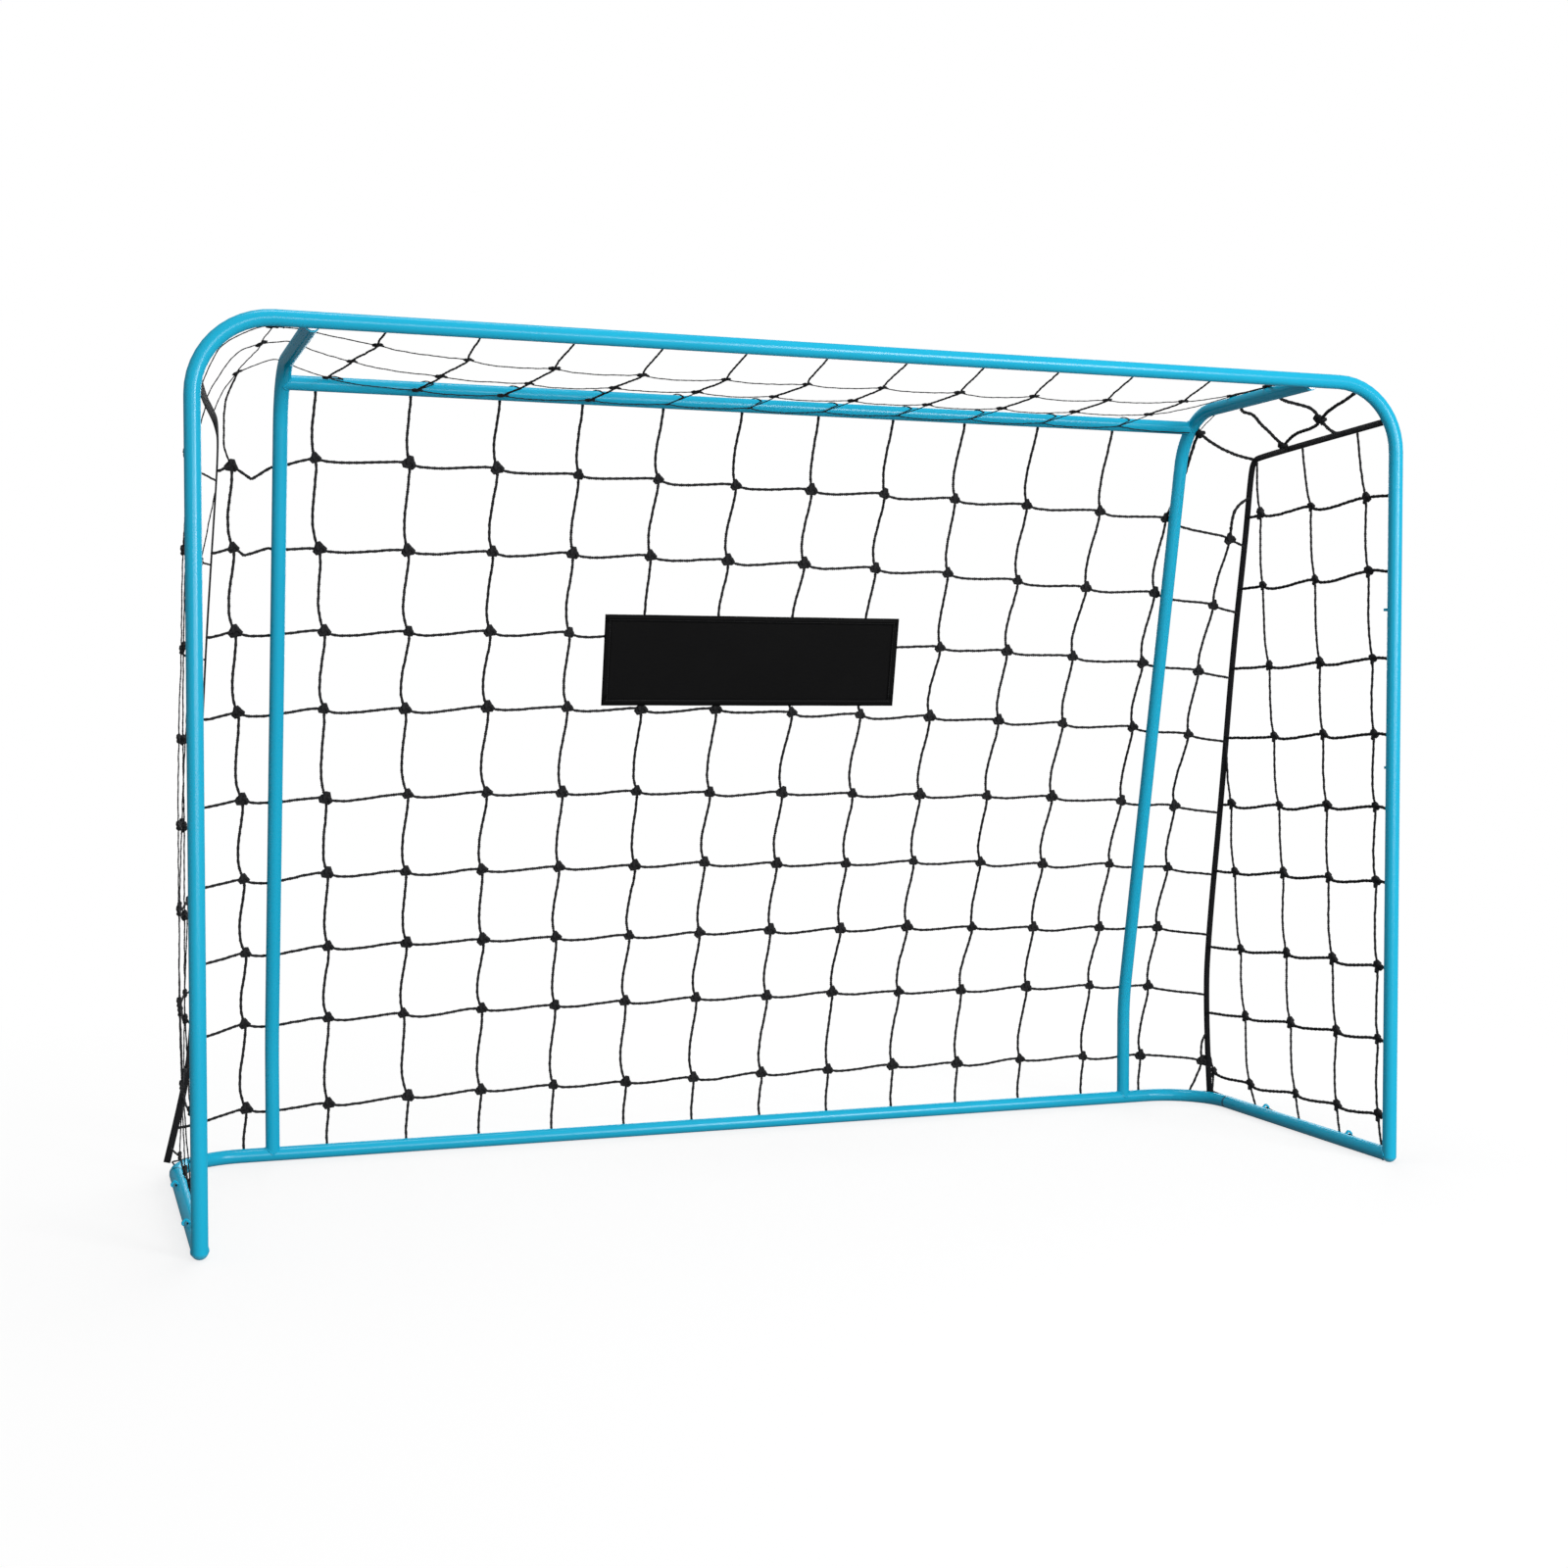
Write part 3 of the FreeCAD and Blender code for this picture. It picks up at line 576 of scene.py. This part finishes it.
back_knots = [[back_knot(row, column) for column in range(columns)] for row in range(len(row_heights))]
caught = {  # row: the dip and the rise of its kink on the left stay, from its first knot
    0: ((0.028, 0, -0.0185), (0.058, 0.001, 0.001)),
    1: ((0.015, 0, -0.0115), (0.05, 0.001, 0.001)),
}
back_lines = []
for row, line in enumerate(back_knots):
    if row in caught:
        dip, rise = (line[0] + Vector(step) for step in caught[row])
        kink = [line[0], line[0].lerp(dip, 0.5) + z_axis * 0.001, dip, dip.lerp(rise, 0.5)]
        back_lines.append(kink + crossing(rise, line[1], 0.5))
    else:
        back_lines.append(crossing(line[0], line[1], 1.2))
    back_lines += [crossing(start, end) for start, end in zip(line[1:], line[2:])]
    back_lines.append(crossing(along_tape(-1, line[0].z - 0.01), line[0], 0.6))
    if line is not back_knots[-1]:
        back_lines.append(crossing(line[-1], along_tape(1, line[-1].z - 0.014), 0.8))
for column in range(columns):
    back_lines += [hanging(upper[column], lower[column]) for upper, lower in zip(back_knots, back_knots[1:])]
    last = back_knots[-1][column]
    foot = at(last.x - 0.002, behind(last.x, ground_z), ground_z)
    back_lines.append(hanging(last, foot, slack=0.7))


def over_bar(front_x, back_x, share):
    """A place on the top bar that goes over its top, from 0 behind it to 1 in front of it."""
    reach = tube_radius + (tight_clearance if share else net_clearance)
    turn = math.pi * share
    x = back_x + (front_x - back_x) * share
    return at(x, bar_y + reach * math.cos(turn), bar_z + reach * math.sin(turn))


roof_rows = [-0.173, -0.066, 0.042]
roof_crowding = (0, 0, 0, 0, 0, 1, 2, 3, 4, 5, 5, 3, 0)  # how much each column crowds to the left


def roof_x(y, column):
    """The roof net's columns spread a little towards the rear."""
    share = (y - roof_rows[0]) / 0.215
    crowd = roof_crowding[column] * (0.0018 + 0.001 * min(1.0, max(0.0, 2 * share)))
    return -0.024 - 0.0144 * share + (column - 6) * (0.1231 + 0.0047 * share) - crowd


bar_wraps = []
for column in range(1, 12):
    top = back_knots[0][column]
    front_x = roof_x(roof_rows[-1], column) + 0.032
    wrap = [over_bar(front_x, top.x - 0.005, step / 10) for step in range(8, -1, -1)]
    bar_wraps.append(wrap)
    back_lines.append(hanging(wrap[-1], top, slack=0.8))

spare = at(0.879, 0.25, 0.074)  # one more knot, half way round the right rear corner
back_lines += [
    bowed(back_knots[-1][-1], spare, z_axis * 0.002, z_axis * 0.004),
    bowed(spare, along_tape(1, 0.062), z_axis * -0.002, z_axis * 0.001, steps=5),
    bowed(along_tape(1, 0.125), spare, x_axis * -0.008, x_axis * -0.006),
    bowed(spare, at(0.858, rail_net_y - 0.036, ground_z + 0.003), x_axis * 0.003, x_axis * 0.003),
]
stays_facing = at(0, math.cos(lean), math.sin(lean))
back_ties = []
for line in back_knots:
    back_ties += [(place, y_axis if place.z < upright_below else stays_facing) for place in line]
back_ties.append((spare, at(0.4, 0.9, 0)))
tied_net("back_net_cords", back_lines, back_ties, "back_net", thin=bar_wraps, share=0.4)


# Roof net
# The same net runs on over the top bar and forward to the crossbar. It sags
# between the stays, lies over their tops, and falls away outside them in a
# rounded shoulder down to the tapes.

front_slip = (22, 20, 13, 11, 10, 10, 8, 8, 9, 8, 0, 0)  # mm that each cord slips left on the crossbar
right_third = at(0.751, 0.058, 1.16)  # the last knot of the rear row hangs outside the right stay


def on_roof(x, y):
    """Slack between the stays, on their tops beside them, up to the crossbar at the front."""
    steep = 4 + 30 * (y - roof_rows[0]) + (5 if x > 0 else 0)
    beside = min(1.0, abs(x) / stay_x) ** max(4, steep)
    past = max(0.0, y - bend_centre.y)
    over = bend_centre.z + math.sqrt((bend_radius + net_reach) ** 2 - past ** 2)
    front = max(0.0, (roof_rows[0] - y) / (roof_rows[0] - front_y)) ** 1.4
    middle = 1.167 - 0.028 * (y - roof_rows[0])
    middle += (crossbar_z - middle) * front
    return at(x, y, middle + (over - middle) * beside)


def pressed(row, column):
    """Whether a knot of the roof, and the cord before it, lies pressed on the top bar."""
    return row == 2 and column > 3


roof_knots, roof_lines, roof_slight = [], [], []
for y in roof_rows:
    line = []
    for column in range(1, 13):
        x = roof_x(y, column) if column < 12 else stay_x - 0.002
        line.append(on_roof(x + rng.uniform(-0.003, 0.003), y + rng.uniform(-0.003, 0.003)))
    if y == roof_rows[-1]:
        line[-1] = right_third
    roof_knots.append(line)
    sag = at(0, 0.004, -0.006), at(0, -0.005, -0.004)
    roof_slight += [bowed(start, end, *sag) for start, end in zip(line, line[1:])]
    roof_slight.append([on_roof(line[0].x + (-stay_x - line[0].x) * step / 8, y) for step in range(9)])
for column, slip in enumerate(front_slip):
    start = at(roof_x(front_y + net_reach, column + 1) - slip / 1000, front_y + net_reach, crossbar_z)
    for row, line in enumerate(roof_knots):
        cord = bowed(start, line[column], x_axis * 0.007, at(-0.008, 0, -0.002))
        (roof_slight if pressed(row, column) else roof_lines).append(cord)
        start = line[column]
    if column < len(bar_wraps):
        roof_slight.append([start, bar_wraps[column][0]])


def path(*places):
    """A slack cord that runs smoothly by way of all its places."""
    points = [Vector(place) for place in places]
    line = []
    for before, start, end, after in zip(points[:1] + points, points, points[1:], points[2:] + points[-1:]):
        for step in range(6):
            t = step / 6
            bend = 2 * before - 5 * start + 4 * end - after
            turn = 3 * start - before - 3 * end + after
            line.append(0.5 * (2 * start + (end - before) * t + bend * t * t + turn * t ** 3))
    return line + [points[-1]]


left_first, left_second = at(-0.778, -0.173, 1.2045), at(-0.7815, -0.066, 1.1995)
left_third, right_first = at(-0.8044, 0.042, 1.175), at(0.8344, -0.172, 1.1555)
right_second = at(0.868, -0.015, 1.134)
roof_slight += [
    path(on_roof(-stay_x, -0.173), left_first),
    path(left_first, (-0.792, -0.173, 1.203), (-0.82, -0.173, 1.191), (-0.845, -0.173, 1.173),
         (-0.86, -0.173, 1.145), under_tape(-1, -0.173)),
    path(on_roof(-stay_x, -0.066), (-0.75, -0.066, 1.204), left_second),
    path(left_second, (-0.813, -0.066, 1.185), (-0.84, -0.066, 1.15), under_tape(-1, -0.066)),
    path(on_roof(-stay_x, 0.042), (-0.754, 0.042, 1.196), (-0.777, 0.042, 1.188), left_third),
    path(left_third, (-0.824, 0.042, 1.149), under_tape(-1, 0.05)),
    path((-0.775, front_y + net_reach, 1.184), (-0.772, -0.23, 1.196), left_first),
    bowed(left_first, left_second, x_axis * 0.004, x_axis * -0.006),
    bowed(left_second, left_third, x_axis * 0.006, x_axis * -0.006),
]
roof_lines += [
    path(left_third, (-0.819, 0.07, 1.137), (-0.82, 0.09, 1.097), (-0.818, 0.1, 1.072), back_knots[0][0]),
]
right_wing = [
    path(roof_knots[0][-1], (0.757, -0.172, 1.192), (0.761, -0.172, 1.187), (0.769, -0.172, 1.182),
         (0.815, -0.172, 1.173), right_first),
    path(right_first, (0.857, -0.172, 1.137), under_tape(1, -0.172)),
    path(roof_knots[1][-1], (0.752, -0.07, 1.19), (0.757, -0.068, 1.179), (0.782, -0.06, 1.175),
         (0.806, -0.045, 1.164), right_second),
    path(right_third, (0.757, 0.085, 1.14), (0.754, 0.112, 1.09), (0.745, 0.121, 1.06), back_knots[0][-2]),
    path(right_third, (0.79, 0.07, 1.143), (0.834, 0.08, 1.13), under_tape(1, 0.088)),
    path((0.826, front_y + net_reach, 1.183), (0.816, -0.26, 1.171), (0.82, -0.22, 1.164), right_first),
    path(right_first, (0.85, -0.13, 1.15), (0.857, -0.075, 1.148), (0.8635, -0.04, 1.143), right_second),
    path(back_knots[0][-1], (0.848, 0.109, 1.027), (0.858, 0.108, 1.047), along_tape(1, 1.061)),
]
roof_ties = []
for row, line in enumerate(roof_knots):
    for column, place in enumerate(line):
        if place != right_third:
            roof_ties.append((place, z_axis, 0.5 if pressed(row, column) else 1.0))
left_out, right_out = at(-0.5, 0, 0.87), at(0.5, 0, 0.87)
roof_ties += [(left_first, z_axis), (left_second, left_out), (left_third, left_out)]
wing_ties = [(place, right_out) for place in (right_first, right_second, right_third)]
tied_net("roof_net_cords", roof_lines, roof_ties, "roof_net", thin=roof_slight, radius=0.0016, knot=0.0078,
         height=0.5)
tied_net("roof_net_right_wing_cords", right_wing, wing_ties, radius=0.0029, knot=0.01)


# Side nets
# A panel of the same net closes each side. It is laced outside the ground tube
# and behind the post, hangs a little outward, and is sewn to the tape behind.

side_rows = [1.032, 0.915, 0.781, 0.663, 0.548, 0.433, 0.3, 0.184, 0.067]
lace_x, lace_z = 0.8986, 0.0199  # the eyes of the hooks on the side ground tubes
slipped_x = {1: 0.909, -1: 0.8795}  # the laced edge between them, by side
hook_low, hook_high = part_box("side_tube_net_hooks_right")
hook_places = (hook_low.y + 0.004, hook_high.y - 0.004)


def side_x(z):
    """How far out the side nets hang at a height."""
    return 0.902 - 0.013 * (z / 1.14) ** 3


def lace_place(side, y):
    """The laced lower edge of a side net: through the hooks' eyes, and slipped down between them."""
    gap = min(abs(y - place) for place in hook_places)
    slip = min(1.0, gap / 0.045) ** 0.7
    round_bend = max(0.0, y - (rear_y - bend_radius))
    aside = slipped_x[side] + math.sqrt(bend_radius ** 2 - round_bend ** 2) - bend_radius
    return at(side * (lace_x + (aside - lace_x) * slip), y, lace_z - 0.009 * slip)


def side_row(side, z, share, hold):
    """One row of knots, from behind the post to near the place on the tape that holds it."""
    line = []
    while True:
        k = len(line)
        y = -0.247 + 0.038 * share ** 1.3 + k * (0.112 + 0.045 * share) + 0.005 * k * (k - 1) * (1 - share)
        if side > 0 and z == side_rows[-1] and k == 4:
            return line + [at(0.8965, 0.238, 0.0545)]
        if y > hold.y - 0.004:
            return line
        near = ((y - front_y) / (hold.y - front_y)) ** 3
        x = side_x(z) + (abs(hold.x) + 0.003 - side_x(z)) * near + rng.uniform(-0.0015, 0.0015)
        if side > 0:
            y -= (0.004 + 0.005 * k) * share + (0.016 if k == 2 and z == side_rows[0] else 0.0)
        else:
            x -= 0.016 * max(0.0, 1 - z / 0.25)
        fall = 0.035 * (y - front_y) * (1 - share ** 2)
        line.append(at(side * x, y + rng.uniform(-0.002, 0.002), z - fall + rng.uniform(-0.002, 0.002)))


def side_net(side, name, node, **cord):
    """The panel on one side, with thinner cords down than across."""
    knots, lines, uprights, grid = [], [], [], []
    for z in side_rows:
        share = row_share(z, side_rows)
        hold = along_tape(side, z - 0.004 - 0.021 * (1 - share))
        line = side_row(side, z, share, hold)
        grid.append(line)
        post = at(side * (post_x + 0.006), front_y + net_reach - 0.001, z - 0.002)
        lines.append(bowed(post, line[0], z_axis * -0.003, z_axis * 0.004, 0.3, 0.7, 8))
        for ends in zip(line, line[1:]):
            lines.append(crossing(*ends[::-side], 0.9))  # on the right it leaves low at its rear end
        lines.append(bowed(line[-1], hold, z_axis * -0.003, z_axis * -0.001, steps=8))
        knots += [(place, x_axis * side) for place in line]
    for column in range(max(len(line) for line in grid)):
        knots_down = [line[column] for line in grid if column < len(line)]
        top = knots_down[0]
        above = under_tape(side, top.y + 0.006) if top.z > 0.95 else along_tape(side, top.z + 0.105)
        for here in knots_down:
            length = (here - above).length
            uprights.append(bowed(above, here, y_axis * (0.01 * length), y_axis * (0.11 * length)))
            above = here
        uprights.append(bowed(above, lace_place(side, above.y), y_axis * 0.003, y_axis * 0.001, steps=8))
    tied_net(name, lines, knots, node, thin=uprights, **cord)


side_net(-1, "side_net_left_cords", "side_net_left", share=0.66, radius=0.0016, knot=0.0064)
side_net(1, "side_net_right_cords", "side_net_right", share=0.78, radius=0.0027, knot=0.0087)


# Border rope
# One thin rope is laced through the net's outermost meshes and lies in the
# hooks: along the crossbar, down behind each post, and round the ground frame.

stay_top = stay_z + tube_radius + net_clearance
rope_y = front_y + net_reach
along_crossbar = [at(x * (stay_x - 0.02) / 20, rope_y, crossbar_z) for x in range(-20, 21)]
ropes = [along_crossbar]
for side in (-1, 1):
    inner = bend_radius + 0.002
    down = [along_crossbar[0 if side < 0 else -1], at(side * stay_x, front_y + 0.02, stay_top + 0.001)]
    for step in range(1, 9):
        angle = math.radians(83 - 9.2 * step)
        x = side * (post_x - bend_radius + inner * math.cos(angle))
        down.append(at(x, rope_y, crossbar_z - bend_radius + inner * math.sin(angle)))
    down += [at(side * post_x, rope_y, z) for z in (1.06, 0.8, 0.5, 0.25, 0.05)]
    down += [lace_place(side, front_y + 0.022 + 0.01 * step) for step in range(45)]
    down += [at(side * 0.8935, 0.232, lace_z), at(side * 0.852, 0.281, 0.016),
             at(side * 0.79, rail_net_y, ground_z), at(0, rail_net_y, ground_z)]
    ropes.append(down)
tied_net("border_rope", ropes, [], radius=0.0014)
bpy.data.objects.remove(knot_form)


# Edge tapes
# A flat black woven tape binds each seam between a side net and the rest: it
# runs back from the post's bend, turns down at the upper corner and ends at the
# ground tube. The nets' edges are sewn to it.

tape_width, tape_thickness = 0.0102, 0.0024


def stripes(tree, spot, scale, way, wander=0.0):
    """Bands of yarn across the cloth's own length and breadth."""
    return add(tree, "TexWave", Vector=spot, Scale=scale, Distortion=wander,
               wave_type="BANDS", bands_direction=way)["Fac"]


def woven_tape():
    """Black tape with a slanting weave."""
    material, tree = new_material("black_woven_tape", {"Roughness": 0.8, "Specular IOR Level": 0.12})
    spot = add(tree, "UVMap", uv_map="UVMap")["UV"]
    slant = stripes(tree, spot, 520.0, "DIAGONAL", wander=0.6)
    relief = reckon(tree, "ADD", slant, stripes(tree, spot, 900.0, "Y"))
    colour = blended(tree, slant, (0.004, 0.004, 0.005), (0.014, 0.014, 0.016))
    return finish(material, relief, strength=0.45, distance=0.0004, Base_Color=colour)


def smooth_line(points):
    """A smooth line near the points, from a spline that they control."""
    data = bpy.data.curves.new("route", "CURVE")
    data.dimensions = "3D"
    spline = data.splines.new("NURBS")
    spline.points.add(len(points) - 1)
    for knob, point in zip(spline.points, points):
        knob.co = (*point, 1)
    spline.order_u = 3
    spline.use_endpoint_u = True
    spline.resolution_u = 10
    carrier = bpy.data.objects.new("route", data)
    mesh = bpy.data.meshes.new_from_object(carrier)
    line = [vertex.co.copy() for vertex in mesh.vertices]
    bpy.data.curves.remove(data)
    bpy.data.meshes.remove(mesh)
    return line


def lengths(points):
    """How far along a line each of its points lies."""
    return [0.0, *accumulate(math.dist(a, b) for a, b in zip(points, points[1:]))]


def ribbon(name, line, flat_side):
    """A flat band along a line, its flat side to the way given for each place."""
    half_w, half_t = tape_width / 2, tape_thickness / 2
    soft = tape_thickness * 0.35
    section = [
        (soft - half_w, half_t), (half_w - soft, half_t),
        (half_w, half_t - soft), (half_w, soft - half_t),
        (half_w - soft, -half_t), (soft - half_w, -half_t),
        (-half_w, soft - half_t), (-half_w, half_t - soft),
    ]
    around, along = lengths(section + section[:1]), lengths(line)
    points, faces, marks = [], [], []
    for before, place, after in zip(line[:1] + line, line, line[1:] + line[-1:]):
        ahead = (after - before).normalized()
        flat = flat_side(place).cross(ahead).normalized()
        face = ahead.cross(flat)
        points += [place + flat * u + face * v for u, v in section]
    for index, (near, far) in enumerate(zip(along, along[1:])):
        for k in range(8):
            here, there, after = index * 8, index * 8 + 8, (k + 1) % 8
            faces.append((here + k, here + after, there + after, there + k))
            marks += [(around[k], near), (around[k + 1], near), (around[k + 1], far), (around[k], far)]
    last = len(points) - 8
    faces += [tuple(range(7, -1, -1)), tuple(range(last, last + 8))]
    marks += [(0, 0)] * 16
    mesh = bpy.data.meshes.new(name)
    mesh.from_pydata(points, [], faces)
    mesh.uv_layers.new(name="UVMap").data.foreach_set("uv", [part for pair in marks for part in pair])
    mesh.polygons.foreach_set("use_smooth", [True] * (len(faces) - 2) + [False] * 2)
    return placed(name, mesh)


def left_flat_side(place):
    """The left tape lies out and up at the shoulder, and has turned to the rear at the ground."""
    return at(-0.8, 0, 0.6).lerp(y_axis, min(1.0, max(0.0, (0.4 - place.z) / 0.22)))


def right_flat_side(place):
    """The right tape lies out and to the rear all the way."""
    return at(0.75, 0.66, 0)


black_tape = woven_tape()
for side, name, flat_side in ((-1, "left", left_flat_side), (1, "right", right_flat_side)):
    tape = ribbon("edge_tape_" + name + "_woven", smooth_line(tape_routes[side]), flat_side)
    tape.data.materials.append(black_tape)
    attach(tape, "root")
    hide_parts("edge_tape_" + name)


# Banner
# A plain black panel of coated polyester cloth lies on the front of the back
# net. Its edge is folded over into a hem and sewn down with one row of thread.

banner_width = banner_high.x - banner_low.x
banner_length = (banner_high.z - banner_low.z) / math.cos(lean)
banner_up = at(0, -math.sin(lean), math.cos(lean))
banner_front = -stays_facing
cloth_thickness, fold_thickness = 0.0005, 0.0006
hem_width, hem_mesh = 0.011, 0.0075
seam_inset = 0.0025  # from the hem's inner edge to its seam


def coated_cloth():
    """Black cloth with its yarns just showing through the coat."""
    material, tree = new_material("coated_black_cloth", {"Specular IOR Level": 0.05})
    spot = add(tree, "UVMap", uv_map="UVMap")["UV"]
    warp, weft = (stripes(tree, spot, 330.0, way, wander=0.4) for way in "XY")
    weave = reckon(tree, "MULTIPLY", warp, weft)
    rough = ranged(tree, noise(tree, spot, scale=22.0, detail=3.0), 0.5, 0.62)
    colour = blended(tree, weave, (0.0006, 0.0006, 0.0007), (0.0022, 0.0022, 0.0024))
    return finish(material, weave, strength=0.25, distance=0.0003, Base_Color=colour, Roughness=rough)


def banner_place(u, v, lift):
    """A place on the panel's front, u across it and v up it from its middle, with its faint ripple."""
    ripple = 0.0008 * math.sin(u * 21 + 1.2) * math.cos(v * 17) + 0.0006 * math.sin(u * 47)
    return banner_middle + x_axis * u + banner_up * v + banner_front * (lift + ripple)


def cloth_sheet(name, outline, steps, lift, thickness):
    """A thin closed sheet over a rectangle of the panel, given as low and high corners."""
    (u0, v0), (u1, v1) = outline
    wide, high = steps
    row = wide + 1  # places in a row
    across, up = u1 - u0, v1 - v0
    spots = [(u0 + across * i / wide, v0 + up * j / high) for j in range(high + 1) for i in range(row)]
    points = [banner_place(u, v, lift + layer) for layer in (thickness, 0.0) for u, v in spots]
    back = len(spots)
    faces = []
    for j in range(high):
        for a in range(j * row, j * row + wide):
            faces.append((a, a + 1, a + 1 + row, a + row))
            faces.append((back + a + row, back + a + 1 + row, back + a + 1, back + a))
    rim = [*range(wide), *range(wide, high * row + wide, row)]
    rim += [*range(high * row + wide, high * row, -1), *range(high * row, 0, -row)]
    for here, there in zip(rim, rim[1:] + rim[:1]):
        faces.append((back + here, back + there, there, here))
    mesh = bpy.data.meshes.new(name)
    mesh.from_pydata(points, [], faces)
    sheet = mesh.uv_layers.new(name="UVMap")
    for loop in mesh.loops:
        sheet.data[loop.index].uv = spots[loop.vertex_index % back]
    mesh.polygons.foreach_set("use_smooth", [True] * len(faces))
    return placed(name, mesh)


def stitch_tree():
    """Lays threads one after another along a line."""
    tree, given = growth_tree("hem_stitches", "Stitch length", "Stitch gap", "Thread radius")
    curve = add(tree, "MeshToCurve", Mesh=given["Geometry"])["Curve"]
    pitch = reckon(tree, "ADD", given["Stitch length"], given["Stitch gap"])
    spots = add(tree, "CurveToPoints", Curve=curve, Length=pitch, mode="LENGTH")
    thread = add(tree, "MeshUVSphere", Segments=6, Rings=4, Radius=1.0)["Mesh"]
    half = reckon(tree, "MULTIPLY", given["Stitch length"], 0.5)
    thin = given["Thread radius"]
    size = add(tree, "ShaderNodeCombineXYZ", X=thin, Y=thin, Z=half)["Vector"]
    row = add(tree, "InstanceOnPoints", Points=spots["Points"], Instance=thread,
              Rotation=spots["Rotation"], Scale=size)
    finish_tree(tree, row["Instances"], given["Material"])
    return tree


black_cloth = coated_cloth()
half_w, half_l = banner_width / 2, banner_length / 2
inner_w, inner_l = half_w - hem_width, half_l - hem_width
banner = cloth_sheet("banner_cloth", ((-half_w, -half_l), (half_w, half_l)), (66, 20), 0.0, cloth_thickness)
hem_strips = {
    "banner_hem_bottom": ((-half_w, -half_l), (half_w, -inner_l)),
    "banner_hem_top": ((-half_w, inner_l), (half_w, half_l)),
    "banner_hem_left": ((-half_w, -inner_l), (-inner_w, inner_l)),
    "banner_hem_right": ((inner_w, -inner_l), (half_w, inner_l)),
}
hems = []
for name, outline in hem_strips.items():
    steps = [max(2, round((high - low) / hem_mesh)) for low, high in zip(*outline)]
    hems.append(cloth_sheet(name, outline, steps, cloth_thickness, fold_thickness))
seam_u, seam_v = inner_w + seam_inset, inner_l + seam_inset
seam_lift = cloth_thickness + fold_thickness + 0.0002
corners = [(-seam_u, -seam_v), (seam_u, -seam_v), (seam_u, seam_v), (-seam_u, seam_v)]
seam_lines = []
for (u0, v0), (u1, v1) in zip(corners, corners[1:] + corners[:1]):
    across, up = (u1 - u0) / 40, (v1 - v0) / 40
    seam_lines.append([banner_place(u0 + across * k, v0 + up * k, seam_lift) for k in range(41)])
black_thread = new_material("black_thread", {"Base Color": (0.012, 0.012, 0.013, 1), "Roughness": 0.6})[0]
stitches = grown("banner_stitches", stitch_tree(), line_mesh("banner_stitches", seam_lines), {
    "Stitch length": 0.0028, "Stitch gap": 0.0009, "Thread radius": 0.0003, "Material": black_thread,
})
for piece in [banner] + hems:
    piece.data.materials.append(black_cloth)
for piece in [banner, stitches] + hems:
    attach(piece, "root")
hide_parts("banner")


# Floor, lights and surround
# The goal stands on a white floor that fades into a white surround. A soft light
# stands at the front right, a wide low one in front, one hangs far above, and a
# wide one behind glances off the tubes' tops. The surround fills the shadows.

def in_view(tree, rays):
    """1 for rays that show a thing straight, in a reflection or through glass, and 0 for light."""
    seen = reckon(tree, "MAXIMUM", rays["Is Camera Ray"], rays["Is Glossy Ray"])
    return reckon(tree, "MAXIMUM", seen, rays["Is Transmission Ray"])


def pale_floor():
    """White where it is seen, fading to the surround, and grey where it lights the goal from below."""
    material = bpy.data.materials.new("pale_floor")
    material.use_nodes = True
    tree = material.node_tree
    tree.nodes.clear()
    rays = add(tree, "LightPath")
    place = add(tree, "TexCoord")["Object"]
    away = add(tree, "VectorMath", place, operation="LENGTH")["Value"]
    share = reckon(tree, "MULTIPLY", in_view(tree, rays), ranged(tree, away, 0.76, 1.0, start=1.0, end=2.2))
    tone = blended(tree, rays["Is Camera Ray"], (0.16, 0.16, 0.16), (0.9, 0.9, 0.9))
    matt = add(tree, "BsdfDiffuse", Color=tone)["BSDF"]
    bright = add(tree, "Emission", Strength=1.0)["Emission"]
    mixed = add(tree, "MixShader", share, matt, bright)["Shader"]
    add(tree, "OutputMaterial", Surface=mixed)
    return material


bpy.ops.mesh.primitive_plane_add(size=24.0)
floor = bpy.context.object
floor.name = "floor"
floor.data.materials.append(pale_floor())


def soft_light(name, place, aim, wide, high, power):
    """A rectangle of light at a place, turned to its aim."""
    data = bpy.data.lights.new(name, "AREA")
    data.shape = "RECTANGLE"
    data.size, data.size_y = wide, high
    data.energy = power
    lamp = placed(name, data)
    lamp.location = place
    lamp.rotation_euler = (Vector(aim) - Vector(place)).to_track_quat("-Z", "Y").to_euler()
    lamp.visible_camera = False


soft_light("front_right_light", (2.4, -5.0, 1.9), (0, 0, 0.6), 1.5, 2.0, 190)
soft_light("front_light", (0.2, -5.6, 0.9), (0, 0, 0.7), 4.0, 1.7, 135)
soft_light("top_light", (-0.4, 0.4, 7.0), (0, 0, 0), 3.0, 2.4, 185)
soft_light("rear_light", (2.7, 6.0, 2.3), (0.4, 0, 0.2), 5.2, 3.0, 370)

world = bpy.data.worlds.new("surround")
world.use_nodes = True
scene = bpy.context.scene
scene.world = world
surround = world.node_tree
surround.nodes.clear()
fill = ranged(surround, in_view(surround, add(surround, "LightPath")), 0.3, 1.0)
sky = add(surround, "Background", Color=(1, 1, 1, 1), Strength=fill)
add(surround, "OutputWorld", Surface=sky["Background"])


# Camera
# The photograph's view: from the front and a little left, near the middle
# height, with the lens that gives its perspective.

camera_data = bpy.data.cameras.new("camera")
camera_data.lens = 48.67
camera_data.sensor_width = 36
camera = placed("camera", camera_data)
camera.location = (-1.0746, -3.0578, 0.6924)
camera.rotation_euler = (math.radians(90 - 1.891), 0, math.radians(-19.356))
scene.camera = camera
scene.view_settings.view_transform = "Standard"

bpy.context.view_layer.update()
